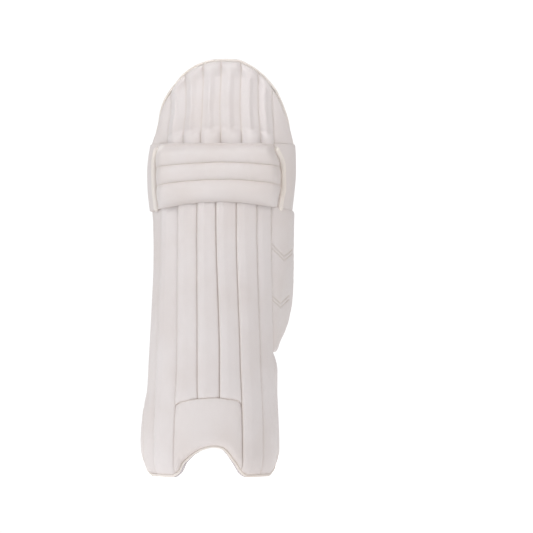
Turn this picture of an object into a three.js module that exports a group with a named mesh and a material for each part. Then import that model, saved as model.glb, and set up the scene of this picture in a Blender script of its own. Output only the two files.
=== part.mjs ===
// A batting pad for the left leg, standing upright on the two lobes beside its instep arch.
// Millimetres, +Z up. The front faces -Y and the outer side of the leg is +X.
import * as THREE from 'three';

// Heights of the three stretches of the pad, from the floor up.
const shinHeight = 478;
const kneeHeight = 94;
const topHatHeight = 148;
const kneeTop = shinHeight + kneeHeight;

// Half widths that the outline tables are shares of.
const shinHalfWidth = 110;
const kneeHalfWidth = 131;
const topHatHalfWidth = 124;

// How far the front of the backing stands before the axis of the leg space.
const shinDepth = 80;
const kneeDepth = 78;
const topHatDepth = 68;
const leanBack = 2;

// The front of the backing stands furthest forward on this line.
const shinAxis = -8;
const kneeAxis = 6;
const topHatAxis = 8;
const axisShare = 0.7;

// Thicknesses of the layers.
const backingWall = 4;
const sidePad = 9;
const sideSeam = 3;
const liningSeam = 3;
const topHatLiningSeam = 2;
const cradleSeam = 6;
const shinBolster = 20;
const topHatBolster = 17;
const kneeRoll = 38;
const instepPad = 17;
const seamDepth = 5;
const pipingRadius = 2.4;
const topHatLining = 11;
const checkLining = 20;
const centreLining = 9;
const lobeLining = 10;
const cradlePad = 26;
const cradleCentre = 9;
const wingWall = 10;
const strapWall = 2.6;
const tabWall = 2;

// Gaps between neighbours.
const seamGap = 0.8;
const layerGap = 0.8;
const liningGap = 1.2;
const strapGap = 0.3;
const tabGap = 0.4;
const pipingGap = 1.8;
const wingGap = 0.6;

// Reach of the sides round the leg, in degrees from the front.
const shinReachDegrees = 106;
const kneeReachDegrees = 100;
const topHatReachDegrees = 80;
const topHatEdgeDegrees = 76;
const topHatPipingDegrees = 74;
const cradleReachDegrees = 84;
const footLiningDegrees = 98;
const wingLeaveDegrees = 82;

// The instep arch and panel.
const archHeight = 51;
const panelTop = 137;
const panelCrown = 9;
const panelCrownDegrees = 30;

// How much lower the shin ends at its sides than under the knee rolls' own curve.
const shinEase = 3;

// The outer wing ends a little inside the knee's outer side.
const wingFoot = 214;
const wingTopMargin = 2;
const wingInset = 1;
const wingSpread = kneeHalfWidth - wingInset;
const wingBack = 50;
const wingRootBack = 4;

// The linings of the shin.
const liningMargin = 2;
const liningFoot = 112;
const centreFoot = 150;
const centreHalfWidth = 28;
const centreOffset = -8;
const checkWidth = 62;
const lobeTop = 106;

// The knee cradle reaches from the band at the top of the shin to above the knee.
const cradleOver = 13;
const bandHeight = 16;
const cradleTop = kneeTop + cradleOver;
const cradleFoot = shinHeight + bandHeight;
const cradleLeft = -32;
const cradleRight = 39;

// The straps: height of the middle, width and bow behind their ends.
const kneeStrapRise = 20;
const kneeStrapHeight = shinHeight + kneeStrapRise;
const kneeStrapWidth = 25;
const kneeStrapSlant = 18;
const calfStrapHeight = 360;
const calfStrapWidth = 63;
const ankleStrapHeight = 158;
const ankleStrapWidth = 58;
const strapBow = 22;
const strapLanding = 14;
const calfTabLength = 84;
const calfTabWidth = 47;
const kneeBadgeLength = 22;
const ankleBadgeLength = 32;
const ankleBadgeWidth = 38;
const ankleBadgeGap = 4;
const ankleOverlap = 44;
const ankleFold = 29;

// Outline of the shin, bottom to top: shares of shinHeight and shinHalfWidth.
const shinOutline = [
  { level: 0.0, left: -1.2, right: 0.95, depth: 1.1 },
  { level: 0.13, left: -1.24, right: 0.96, depth: 1.05 },
  { level: 0.235, left: -1.2, right: 0.945, depth: 1.01 },
  { level: 0.31, left: -1.136, right: 0.93, depth: 1.0 },
  { level: 0.45, left: -1.1, right: 0.93, depth: 0.98 },
  { level: 0.62, left: -1.058, right: 1.0, depth: 0.965 },
  { level: 0.78, left: -1.03, right: 1.1, depth: 0.96 },
  { level: 0.92, left: -1.035, right: 1.17, depth: 0.965 },
  { level: 1.0, left: -1.07, right: 1.19, depth: 0.975 },
];

// Heights that the pieces of the shin share: shares of shinHeight. Below the first and
// above the last of the level stretch, they follow the piece's own edges.
const shinRows = [0, 0.012, 0.05, 0.12, 0.2, 0.27, 0.34, 0.45, 0.62, 0.78, 0.87, 0.94, 0.988, 1];
const levelShareFrom = 0.2;
const levelShareTo = 0.87;

// Seams between the shin bolsters: shares of shinHeight and shinHalfWidth.
const shinSeams = [
  { level: 0.13, s0: -0.964, s1: -0.665, s2: -0.303, s3: 0.02, s4: 0.358, s5: 0.657, s6: 0.885 },
  { level: 0.42, s0: -0.916, s1: -0.602, s2: -0.303, s3: 0.02, s4: 0.319, s5: 0.617, s6: 0.83 },
  { level: 0.925, s0: -0.845, s1: -0.586, s2: -0.303, s3: -0.027, s4: 0.272, s5: 0.578, s6: 0.806 },
];

// How full each bolster is, from the inner side: shares of the bolster heights.
const fullness = [
  { bolster: 1, shin: 0.75, topHat: 0.8 },
  { bolster: 2, shin: 0.95, topHat: 0.95 },
  { bolster: 3, shin: 1, topHat: 1 },
  { bolster: 4, shin: 1, topHat: 1 },
  { bolster: 5, shin: 0.9, topHat: 0.95 },
  { bolster: 6, shin: 0.65, topHat: 0.75 },
];

// Lower edge of the shin round the leg: degrees from the front, share of archHeight.
const shinEdge = [
  { turn: -106, rise: 1.2 },
  { turn: -90, rise: 0.6 },
  { turn: -80, rise: 0.24 },
  { turn: -70, rise: 0.06 },
  { turn: -63, rise: 0 },
  { turn: -37, rise: 0 },
  { turn: -30, rise: 0.14 },
  { turn: -25, rise: 0.45 },
  { turn: -8, rise: 0.93 },
  { turn: 0, rise: 1 },
  { turn: 7, rise: 0.96 },
  { turn: 19, rise: 0.49 },
  { turn: 28, rise: 0.08 },
  { turn: 34, rise: 0 },
  { turn: 63, rise: 0 },
  { turn: 70, rise: 0.08 },
  { turn: 80, rise: 0.24 },
  { turn: 90, rise: 0.55 },
  { turn: 106, rise: 1.1 },
];

// Outline of the knee: shares of kneeHeight above the shin and of kneeHalfWidth.
const kneeOutline = [
  { level: -0.25, left: -0.92, right: 0.985, depth: 1.0 },
  { level: 0.1, left: -0.94, right: 1.005, depth: 1.0 },
  { level: 0.5, left: -0.952, right: 1.03, depth: 1.0 },
  { level: 1.0, left: -0.915, right: 1.02, depth: 0.98 },
  { level: 1.4, left: -0.89, right: 1.008, depth: 0.96 },
];

// Edges of the knee rolls from below: height at the middle and drop at the ends,
// as shares of kneeHeight.
const rollEdges = [
  { edge: 0, middle: 0.0, drop: 0.18 },
  { edge: 1, middle: 0.356, drop: 0.16 },
  { edge: 2, middle: 0.668, drop: 0.12 },
  { edge: 3, middle: 1.0, drop: 0.0 },
];
const rollLeftShare = -0.8;
const rollRightShare = 0.85;
const rollEaseShare = 0.17;

// Dome of the top hat: shares of topHatHalfWidth and topHatHeight.
const dome = [
  { across: -1.0, rise: 0.02 },
  { across: -0.96, rise: 0.149 },
  { across: -0.918, rise: 0.29 },
  { across: -0.89, rise: 0.432 },
  { across: -0.82, rise: 0.572 },
  { across: -0.694, rise: 0.713 },
  { across: -0.541, rise: 0.851 },
  { across: -0.35, rise: 0.945 },
  { across: -0.12, rise: 0.995 },
  { across: 0.04, rise: 1.0 },
  { across: 0.2, rise: 0.995 },
  { across: 0.381, rise: 0.935 },
  { across: 0.548, rise: 0.842 },
  { across: 0.66, rise: 0.748 },
  { across: 0.757, rise: 0.642 },
  { across: 0.869, rise: 0.432 },
  { across: 0.939, rise: 0.233 },
  { across: 0.994, rise: 0.034 },
];

// Seams of the top hat: shares of topHatHeight and topHatHalfWidth.
const topHatSeams = [
  { level: 0.1, s0: -0.755, s1: -0.535, s2: -0.295, s3: -0.026, s4: 0.252, s5: 0.508, s6: 0.696 },
  { level: 0.45, s0: -0.709, s1: -0.499, s2: -0.276, s3: -0.039, s4: 0.234, s5: 0.478, s6: 0.673 },
  { level: 0.85, s0: -0.708, s1: -0.505, s2: -0.262, s3: -0.02, s4: 0.246, s5: 0.478, s6: 0.667 },
];

// Free edge of the outer wing: share of its height, then of its spread and reach back.
const wingEdge = [
  { level: 0.0, spread: 0.0, back: 0.0 },
  { level: 0.06, spread: 0.14, back: 0.3 },
  { level: 0.14, spread: 0.45, back: 0.58 },
  { level: 0.24, spread: 0.72, back: 0.8 },
  { level: 0.38, spread: 0.93, back: 0.95 },
  { level: 0.52, spread: 1.0, back: 1.0 },
  { level: 1.0, spread: 0.98, back: 1.0 },
];

const radians = Math.PI / 180;
const mix = (a, b, t) => a + (b - a) * t;
const smooth = (t) => t * t * (3 - 2 * t);

// Reads a table with named columns on a smooth curve that never overshoots its rows.
function lookup(table, key, column, at) {
  const last = table.length - 1;
  if (at <= table[0][key]) return table[0][column];
  if (at >= table[last][key]) return table[last][column];
  const above = table.findIndex((row) => row[key] > at);
  const rise = (i) => (table[i + 1][column] - table[i][column]) / (table[i + 1][key] - table[i][key]);
  const slope = (i) => {
    if (i === 0 || i === last) return 0;
    const before = rise(i - 1);
    const after = rise(i);
    return before * after <= 0 ? 0 : (2 * before * after) / (before + after);
  };
  const low = table[above - 1];
  const high = table[above];
  const span = high[key] - low[key];
  const t = (at - low[key]) / span;
  const ease = t * t * (3 - 2 * t);
  const leave = t * (1 - t) * (1 - t) * span * slope(above - 1);
  const arrive = t * t * (1 - t) * span * slope(above);
  return mix(low[column], high[column], ease) + leave - arrive;
}

// Level of the axis of the leg space: the pad leans back a little towards its top.
const axisY = (z) => (leanBack * z) / (kneeTop + topHatHeight);

// Sections of the backing: its axis, the reach to each side and the depth at a height.
const sideLayers = backingWall + layerGap + sidePad;

function shinSection(z) {
  const level = z / shinHeight;
  const axis = mix(shinAxis, kneeAxis, smooth(Math.max(0, 2 * level - 1)) * axisShare);
  const left = -shinHalfWidth * lookup(shinOutline, 'level', 'left', level) + axis - sideLayers;
  const right = shinHalfWidth * lookup(shinOutline, 'level', 'right', level) - axis - sideLayers;
  return { axis, left, right, depth: shinDepth * lookup(shinOutline, 'level', 'depth', level) };
}

function upperSection(z) {
  const level = (z - shinHeight) / kneeHeight;
  const axis = mix(kneeAxis, topHatAxis, Math.min(1, Math.max(0, level)));
  const left = -kneeHalfWidth * lookup(kneeOutline, 'level', 'left', level) + axis - sideLayers;
  const right = kneeHalfWidth * lookup(kneeOutline, 'level', 'right', level) - axis - sideLayers;
  const top = Math.min(1, Math.max(0, (z - kneeTop) / topHatHeight));
  const knee = kneeDepth * lookup(kneeOutline, 'level', 'depth', level);
  return { axis, left, right, depth: mix(knee, topHatDepth, top) };
}

// A point round the leg at a height, lifted off the inner face of the backing.
function place(section, turn, z, lift) {
  const { axis, left, right, depth } = section(z);
  const half = turn < 0 ? left : right;
  const side = Math.sin(turn);
  const front = Math.cos(turn);
  const length = Math.hypot(depth * side, half * front);
  const x = axis + half * side + (lift * depth * side) / length;
  const y = axisY(z) - depth * front - (lift * half * front) / length;
  return new THREE.Vector3(x, y, z);
}

// The turn at which a lifted point stands at a given x.
function turnAt(section, x, z, lift) {
  let low = -Math.PI / 2;
  let high = Math.PI / 2;
  for (let step = 0; step < 22; step += 1) {
    const middle = (low + high) / 2;
    if (place(section, middle, z, lift).x < x) low = middle;
    else high = middle;
  }
  return (low + high) / 2;
}

const pad = new THREE.Group();

const finishes = {
  cover: { color: 0xe9e5e0, roughness: 0.45 },
  rib: { color: 0xe2ddd8, roughness: 0.45 },
  trim: { color: 0xe6ddcb, roughness: 0.5 },
  lining: { color: 0xe8e3ea, roughness: 0.8 },
  check: { color: 0xd4d4e0, roughness: 0.8 },
  strap: { color: 0xe4dcd4, roughness: 0.7 },
  tab: { color: 0xcfcdcf, roughness: 0.4 },
};

function addMesh(name, finish, positions, index) {
  const geometry = new THREE.BufferGeometry();
  geometry.setAttribute('position', new THREE.Float32BufferAttribute(positions, 3));
  geometry.setIndex(index);
  const material = new THREE.MeshStandardMaterial({ ...finishes[finish], metalness: 0 });
  const mesh = new THREE.Mesh(geometry, material);
  mesh.name = name;
  pad.add(mesh);
  return mesh;
}

// Turns the faces outwards, judged by the sign of the enclosed volume.
function outwards(positions, index) {
  const point = (i) => new THREE.Vector3().fromArray(positions, 3 * i);
  let volume = 0;
  for (let i = 0; i < index.length; i += 3) {
    volume += point(index[i]).dot(point(index[i + 1]).cross(point(index[i + 2])));
  }
  if (volume > 0) return index;
  const turned = [];
  for (let i = 0; i < index.length; i += 3) turned.push(index[i], index[i + 2], index[i + 1]);
  return turned;
}

// A closed slab between an outer and an inner sheet, both over the same shares s and t.
function slab(name, finish, across, along, outer, inner) {
  const columns = across.length;
  const rows = along.length;
  const positions = [];
  const index = [];
  for (const sheet of [outer, inner]) {
    for (const t of along) {
      for (const s of across) positions.push(...sheet(s, t).toArray());
    }
  }
  const at = (sheet, row, column) => sheet * rows * columns + row * columns + column;
  const quad = (a, b, c, d) => index.push(a, b, c, a, c, d);
  for (let row = 0; row < rows - 1; row += 1) {
    for (let column = 0; column < columns - 1; column += 1) {
      quad(at(0, row, column), at(0, row, column + 1), at(0, row + 1, column + 1), at(0, row + 1, column));
      quad(at(1, row, column), at(1, row + 1, column), at(1, row + 1, column + 1), at(1, row, column + 1));
    }
  }
  for (let row = 0; row < rows - 1; row += 1) {
    const end = columns - 1;
    quad(at(0, row, 0), at(0, row + 1, 0), at(1, row + 1, 0), at(1, row, 0));
    quad(at(0, row, end), at(1, row, end), at(1, row + 1, end), at(0, row + 1, end));
  }
  for (let column = 0; column < columns - 1; column += 1) {
    const end = rows - 1;
    quad(at(0, 0, column), at(1, 0, column), at(1, 0, column + 1), at(0, 0, column + 1));
    quad(at(0, end, column), at(0, end, column + 1), at(1, end, column + 1), at(1, end, column));
  }
  return addMesh(name, finish, positions, outwards(positions, index));
}

// Shares from 0 to 1: evenly spaced, or drawn towards both ends for a round form.
const even = (count) => Array.from({ length: count + 1 }, (_, i) => i / count);
const rounded = (count) => even(count).map((t) => (1 - Math.cos(Math.PI * t)) / 2);
const endRows = (count, near) => {
  const between = even(count).map((t) => mix(near, 1 - near, t));
  return [0, near / 4, ...between, 1 - near / 4, 1];
};

// How full a round form is across its width, and how it closes over its ends.
const crown = (s) => Math.sqrt(Math.max(0, 1 - (2 * s - 1) ** 2));
const closing = (t, near) => {
  const end = Math.min(t, 1 - t) / near;
  return end >= 1 ? 1 : Math.sqrt(1 - (1 - end) ** 2);
};

// Rows of the shin stay level between two heights and lead to the piece's edges beyond.
function shinRise(low, high, t) {
  const from = levelShareFrom * shinHeight;
  const to = levelShareTo * shinHeight;
  if (t < levelShareFrom) return mix(low, Math.max(low, from), t / levelShareFrom);
  if (t > levelShareTo) return mix(Math.min(high, to), high, (t - levelShareTo) / (1 - levelShareTo));
  return t * shinHeight;
}

// The same, for a piece that ends at a level height below the stretch's top.
function footRise(low, high, t) {
  const from = levelShareFrom * shinHeight;
  const last = shinRows.findLast((row) => row * shinHeight < wingFoot);
  if (t < levelShareFrom) return mix(low, Math.max(low, from), t / levelShareFrom);
  return mix(from, high, (t - levelShareFrom) / (last - levelShareFrom));
}

// A padded panel round the leg between two turns and two edges. It lies between lift
// values off the backing, swelling from the seam depth to its full height.
function panel(name, finish, section, shape) {
  const { from, to, low, high, floor, seam, height, across, along, near, swell } = shape;
  const rise = shape.rise ?? mix;
  const mid = floor + Math.sign(height) * Math.abs(seam);
  const spot = (s, t, lift) => {
    let z = rise(low(0), high(0), t);
    let turn = 0;
    for (let step = 0; step < 8; step += 1) {
      turn = mix(from(z), to(z), s);
      z = rise(low(turn), high(turn), t);
    }
    return place(section, turn, z, lift);
  };
  const full = swell ?? ((s, t) => crown(s) * closing(t, near));
  const outer = (s, t) => spot(s, t, mix(mid, floor + height, full(s, t)));
  const inner = (s, t) => spot(s, t, floor);
  return slab(name, finish, across, along, outer, inner);
}

const outerFloor = backingWall + layerGap;
const innerFloor = -liningGap;

// How much longer an edge is than its run round the leg, where it climbs.
function steepness(section, edge, turn) {
  const step = 1.5 * radians;
  const behind = place(section, turn - step, edge(turn), outerFloor);
  const ahead = place(section, turn + step, edge(turn), outerFloor);
  return Math.hypot(1, (edge(turn + step) - edge(turn - step)) / ahead.distanceTo(behind));
}

// Edges round the leg.
const shinLow = (turn) => archHeight * lookup(shinEdge, 'turn', 'rise', turn / radians);
const aboveBasePiping = (turn) =>
  shinLow(turn) + (2 * pipingRadius + pipingGap) * steepness(shinSection, shinLow, turn);
const kneeShare = (turn) => {
  const share = Math.sin(turn) / Math.sin(kneeReachDegrees * radians);
  return share * share;
};
const rollEdge = (edge) => (turn) => {
  const { middle, drop } = rollEdges[edge];
  return shinHeight + kneeHeight * (middle - drop * kneeShare(turn));
};
const shinHigh = (turn) => {
  const share = Math.min(1, Math.abs(turn / radians) / kneeReachDegrees);
  const drop = kneeHeight * rollEdges[0].drop * Math.sin((share * Math.PI) / 2) ** 2;
  return shinHeight - seamGap - drop - shinEase * share;
};
const domeHigh = (lift, margin) => (turn) => {
  const spread = place(upperSection, turn, kneeTop, lift).x - topHatAxis;
  return kneeTop + topHatHeight * lookup(dome, 'across', 'rise', spread / topHatHalfWidth) - margin;
};
const belowDome = (lift, margin) => {
  const edge = domeHigh(lift, 0);
  return (turn) => edge(turn) - margin * steepness(upperSection, edge, turn);
};

// Seams round the leg, each half a seam gap clear of the line.
const shinSeam = (seam, side) => (z) => {
  const x = shinHalfWidth * lookup(shinSeams, 'level', `s${seam}`, z / shinHeight);
  return turnAt(shinSection, x + side * (seamGap / 2), z, outerFloor + seamDepth);
};
const topHatSeam = (seam, side) => (z) => {
  const share = lookup(topHatSeams, 'level', `s${seam}`, (z - kneeTop) / topHatHeight);
  const x = topHatAxis + topHatHalfWidth * share;
  return turnAt(upperSection, x + side * (seamGap / 2), z, outerFloor + seamDepth);
};
const rollSide = (share, side) => (z) =>
  turnAt(upperSection, kneeHalfWidth * share + side * (seamGap / 2), z, outerFloor + seamDepth);
const fixed = (value) => () => value;

// Shin: backing, bolsters, instep panel and side strips.
function buildShin() {
  const reach = shinReachDegrees * radians;
  const shell = { from: fixed(-reach), to: fixed(reach), low: shinLow, high: shinHigh };
  panel('shin_backing', 'lining', shinSection, {
    ...shell, floor: 0, seam: backingWall, height: backingWall, rise: shinRise,
    across: even(22), along: shinRows.filter((row) => row !== shinRows[1] && row !== shinRows.at(-2)),
    swell: () => 1,
  });
  const shortRows = shinRows.filter((row) => row < 0.1 || row > 0.2);
  const panelHigh = (turn) => {
    const share = Math.min(1, Math.abs(turn) / (panelCrownDegrees * radians));
    return panelTop - panelCrown * share * share;
  };
  for (let i = 0; i < 6; i += 1) {
    const short = i >= 1 && i <= 3;
    const shortFoot = (turn) => panelHigh(turn) + seamGap;
    panel(`shin_bolster_${i + 1}`, 'rib', shinSection, {
      from: shinSeam(i, 1), to: shinSeam(i + 1, -1),
      low: short ? shortFoot : aboveBasePiping, high: shinHigh, rise: short ? mix : shinRise,
      floor: outerFloor, seam: seamDepth, height: shinBolster * fullness[i].shin,
      across: rounded(4), along: short ? shortRows : shinRows, near: 0.05,
    });
  }
  panel('instep_panel', 'cover', shinSection, {
    from: shinSeam(1, 1), to: shinSeam(4, -1), low: aboveBasePiping, high: panelHigh,
    floor: outerFloor, seam: seamDepth, height: instepPad,
    across: rounded(8), along: [0, 0.05, 0.2, 0.5, 0.8, 0.95, 1],
    swell: (s, t) => crown(s) ** 0.4 * closing(t, 0.2),
  });
  const strip = {
    low: aboveBasePiping, high: shinHigh, rise: shinRise, floor: outerFloor, seam: sideSeam, height: sidePad,
    across: even(6), along: shinRows, swell: (s, t) => crown(s) ** 0.6 * closing(t, 0.03),
  };
  panel('shin_side_inner', 'cover', shinSection, { ...strip, from: fixed(-reach), to: shinSeam(0, -1) });
  panel('shin_side_outer', 'cover', shinSection, {
    ...strip, from: shinSeam(6, 1), to: fixed(reach), high: fixed(wingFoot - seamGap),
    along: shinRows.filter((row) => row * shinHeight < wingFoot), rise: footRise,
  });
}

// Outer wing: a padded flap that leaves the side strip and stands out and back.
function buildWing() {
  const lift = outerFloor + wingGap + wingWall / 2;
  const wingColumns = [0, 0.1, 0.2, 0.4, 0.6, 0.8, 0.87, 0.94, 1];
  const wingTop = shinHeight - kneeHeight * rollEdges[0].drop - wingTopMargin;
  const shares = shinRows.map((row) => (row * shinHeight - wingFoot) / (wingTop - wingFoot));
  const wingRows = [0, 0.04, 0.1, 0.19, ...shares.filter((t) => t > 0.24 && t < 0.92), 0.96, 1];
  const middle = (s, t) => {
    const z = mix(wingFoot, wingTop, t);
    const start = shinSeam(6, 1)(z) + radians / 2;
    const along = (share) => place(shinSection, mix(start, wingLeaveDegrees * radians, share), z, lift);
    const side = along(1);
    const spread = mix(side.x, wingSpread - wingWall / 2, lookup(wingEdge, 'level', 'spread', t));
    const back = mix(side.y + wingRootBack, wingBack, lookup(wingEdge, 'level', 'back', t));
    const tip = new THREE.Vector3(Math.max(side.x, spread), back, z);
    const path = [...even(4).map(along), tip];
    return new THREE.CatmullRomCurve3(path).getPoint(s);
  };
  const off = (s, t, lift) => {
    const here = middle(s, t);
    const ahead = middle(Math.min(1, s + 0.02), t);
    const behind = middle(Math.max(0, s - 0.02), t);
    const along = ahead.sub(behind).normalize();
    return here.add(new THREE.Vector3(along.y, -along.x, 0).multiplyScalar(lift));
  };
  const half = (s, t) => (wingWall / 2) * mix(0.45, 1, Math.min(crown(s) ** 0.5, closing(t, 0.06)));
  slab('outer_wing', 'cover', wingColumns, wingRows,
    (s, t) => off(s, t, half(s, t)), (s, t) => off(s, t, -wingWall / 2));
}

// Knee: backing, three rolls and the two ears beside them.
function buildKnee() {
  const reach = kneeReachDegrees * radians;
  panel('knee_backing', 'lining', upperSection, {
    from: fixed(-reach), to: fixed(reach), low: rollEdge(0), high: fixed(kneeTop - seamGap),
    floor: 0, seam: backingWall, height: backingWall, across: even(26), along: even(5), swell: () => 1,
  });
  const names = ['knee_roll_lower', 'knee_roll_middle', 'knee_roll_upper'];
  names.forEach((name, i) => {
    panel(name, 'cover', upperSection, {
      from: rollSide(rollLeftShare, 1), to: rollSide(rollRightShare, -1),
      low: (turn) => rollEdge(i)(turn) + seamGap / 2,
      high: (turn) => rollEdge(i + 1)(turn) - seamGap,
      floor: outerFloor, seam: seamDepth, height: kneeRoll,
      across: [0, 0.015, 0.05, ...even(12).slice(1, -1).map((t) => mix(0.05, 0.95, t)), 0.95, 0.985, 1],
      along: rounded(6), swell: (s, t) => crown(t) * smooth(Math.min(1, Math.min(s, 1 - s) / rollEaseShare)),
    });
  });
  const ear = {
    low: (turn) => rollEdge(0)(turn) + seamGap / 2, high: fixed(kneeTop - seamGap),
    floor: outerFloor, seam: sideSeam, height: sidePad, across: even(6), along: rounded(5),
    swell: (s, t) => Math.sqrt(crown(s) * crown(t)),
  };
  panel('knee_ear_inner', 'cover', upperSection, {
    ...ear, from: fixed(-reach), to: rollSide(rollLeftShare, -1),
  });
  panel('knee_ear_outer', 'cover', upperSection, {
    ...ear, from: rollSide(rollRightShare, 1), to: fixed(reach),
  });
}

// Top hat: backing, bolsters, side strip, wing and lining under its dome.
function buildTopHat() {
  const reach = topHatReachDegrees * radians;
  const low = fixed(kneeTop);
  panel('top_hat_backing', 'lining', upperSection, {
    from: fixed(-reach), to: fixed(reach), low, high: domeHigh(backingWall, 0),
    floor: 0, seam: backingWall, height: backingWall, across: even(22), along: even(5), swell: () => 1,
  });
  const margin = 2 * pipingRadius + pipingGap;
  const under = belowDome(outerFloor + seamDepth, margin);
  const near = 0.1;
  for (let i = 0; i < 6; i += 1) {
    panel(`top_hat_bolster_${i + 1}`, 'rib', upperSection, {
      from: topHatSeam(i, 1), to: topHatSeam(i + 1, -1), low, high: under,
      floor: outerFloor, seam: seamDepth, height: topHatBolster * fullness[i].topHat,
      across: rounded(5), along: endRows(3, near), near,
    });
  }
  const side = {
    low, high: under, floor: outerFloor, seam: sideSeam, across: rounded(5), along: rounded(5),
    swell: (s, t) => Math.sqrt(crown(s) * crown(t)),
  };
  const edge = topHatEdgeDegrees * radians;
  panel('top_hat_side', 'cover', upperSection, {
    ...side, height: sidePad, from: fixed(-edge), to: topHatSeam(0, -1),
  });
  panel('top_hat_wing', 'cover', upperSection, {
    ...side, height: sidePad, from: topHatSeam(6, 1), to: fixed(edge),
  });
  panel('top_hat_lining', 'lining', upperSection, {
    from: fixed(-edge), to: fixed(edge),
    low: fixed(cradleTop + seamGap), high: domeHigh(-topHatLining, pipingRadius),
    floor: innerFloor, seam: topHatLiningSeam, height: -topHatLining, across: rounded(12), along: rounded(5),
    swell: (s, t) => Math.min(1, 1.3 * Math.sqrt(crown(s) * crown(t))),
  });
}

// A round tube through points, closed at both ends.
function tube(name, finish, points, radius, sides) {
  const positions = [];
  const index = [];
  points.forEach((point, i) => {
    const ahead = points[Math.min(points.length - 1, i + 1)];
    const behind = points[Math.max(0, i - 1)];
    const along = ahead.clone().sub(behind).normalize();
    const first = new THREE.Vector3(0, 1, 0).cross(along).normalize();
    const second = along.clone().cross(first);
    for (let side = 0; side < sides; side += 1) {
      const angle = (2 * Math.PI * (side + 0.5)) / sides;
      const spot = point.clone();
      spot.addScaledVector(first, radius * Math.cos(angle));
      spot.addScaledVector(second, radius * Math.sin(angle));
      positions.push(...spot.toArray());
    }
  });
  for (let i = 0; i < points.length - 1; i += 1) {
    for (let side = 0; side < sides; side += 1) {
      const next = (side + 1) % sides;
      const a = i * sides + side;
      const b = i * sides + next;
      index.push(a, b, b + sides, a, b + sides, a + sides);
    }
  }
  const last = (points.length - 1) * sides;
  for (let side = 1; side < sides - 1; side += 1) {
    index.push(0, side + 1, side, last, last + side, last + side + 1);
  }
  return addMesh(name, finish, positions, outwards(positions, index));
}

// Piping along the dome and along the lower edge, before the backing's rim.
function buildPiping() {
  const lift = outerFloor + pipingRadius;
  const domeRim = belowDome(lift, pipingRadius);
  const top = even(26).map((t) => {
    const turn = mix(-topHatPipingDegrees, topHatPipingDegrees, t) * radians;
    return place(upperSection, turn, domeRim(turn), lift);
  });
  tube('top_hat_piping', 'trim', top, pipingRadius, 5);
  const base = even(44).map((t) => {
    const turn = mix(-shinReachDegrees, shinReachDegrees, t) * radians;
    const height = shinLow(turn) + pipingRadius * steepness(shinSection, shinLow, turn);
    return place(shinSection, turn, height, lift);
  });
  tube('base_piping', 'trim', base, pipingRadius, 5);
}

// Linings inside the shin: centre panel, two checked bolsters and the foot linings.
function buildLining() {
  const turnOf = (x) => (z) => turnAt(shinSection, shinAxis + centreOffset + x, z, -centreLining);
  const high = (turn) => shinHigh(turn) - liningMargin;
  const near = 0.06;
  panel('shin_lining_centre', 'lining', shinSection, {
    from: turnOf(-centreHalfWidth), to: turnOf(centreHalfWidth), low: fixed(centreFoot), high,
    floor: innerFloor, seam: liningSeam, height: -centreLining, across: rounded(4), along: endRows(6, near),
    swell: (s, t) => crown(s) ** 0.5 * closing(t, near),
  });
  const start = centreHalfWidth + seamGap;
  const shape = {
    low: fixed(liningFoot), high, floor: innerFloor, seam: liningSeam, height: -checkLining,
    across: rounded(6), along: endRows(6, near), near,
  };
  panel('shin_lining_outer', 'check', shinSection, {
    ...shape, from: turnOf(start), to: turnOf(start + checkWidth),
  });
  panel('shin_lining_inner', 'check', shinSection, {
    ...shape, from: turnOf(-start - checkWidth), to: turnOf(-start),
  });
  const edge = footLiningDegrees * radians;
  const foot = {
    low: shinLow, high: fixed(lobeTop), floor: innerFloor, seam: liningSeam, height: -lobeLining,
    across: rounded(6), along: rounded(5), swell: (s, t) => Math.sqrt(crown(s) * crown(t)),
  };
  panel('instep_lining', 'cover', shinSection, {
    ...foot, from: shinSeam(1, 1), to: shinSeam(4, -1), across: rounded(10),
  });
  panel('lobe_lining_inner', 'cover', shinSection, { ...foot, from: fixed(-edge), to: shinSeam(1, -1) });
  panel('lobe_lining_outer', 'cover', shinSection, { ...foot, from: shinSeam(4, 1), to: fixed(edge) });
}

// Knee cradle: a flat centre between two full side pads, with a band below them.
function buildCradle() {
  const reach = cradleReachDegrees * radians;
  const cradleSide = (x, side) => (z) =>
    turnAt(upperSection, x + side * (seamGap / 2), z, -cradleCentre);
  const span = { low: fixed(cradleFoot + seamGap), high: fixed(cradleTop) };
  panel('knee_cradle_centre', 'lining', upperSection, {
    ...span, from: cradleSide(cradleLeft, 1), to: cradleSide(cradleRight, -1),
    floor: innerFloor, seam: liningSeam, height: -cradleCentre,
    across: rounded(4), along: rounded(4), swell: (s, t) => (crown(s) * crown(t)) ** 0.3,
  });
  const side = {
    ...span, floor: innerFloor, seam: cradleSeam, height: -cradlePad, across: rounded(6), along: rounded(6),
    swell: (s, t) => (crown(s) * crown(t)) ** 0.5,
  };
  panel('knee_cradle_inner', 'lining', upperSection, {
    ...side, from: fixed(-reach), to: cradleSide(cradleLeft, -1),
  });
  panel('knee_cradle_outer', 'lining', upperSection, {
    ...side, from: cradleSide(cradleRight, 1), to: fixed(reach),
  });
  const bandLow = (turn) => rollEdge(0)(turn) + seamGap;
  panel('knee_band', 'cover', upperSection, {
    from: fixed(-reach), to: fixed(reach), low: bandLow, high: fixed(cradleFoot),
    floor: innerFloor, seam: liningSeam, height: -cradleCentre, across: rounded(11), along: rounded(4),
    swell: (s, t) => crown(t) ** 0.6 * crown(s) ** 0.3,
  });
}

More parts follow.
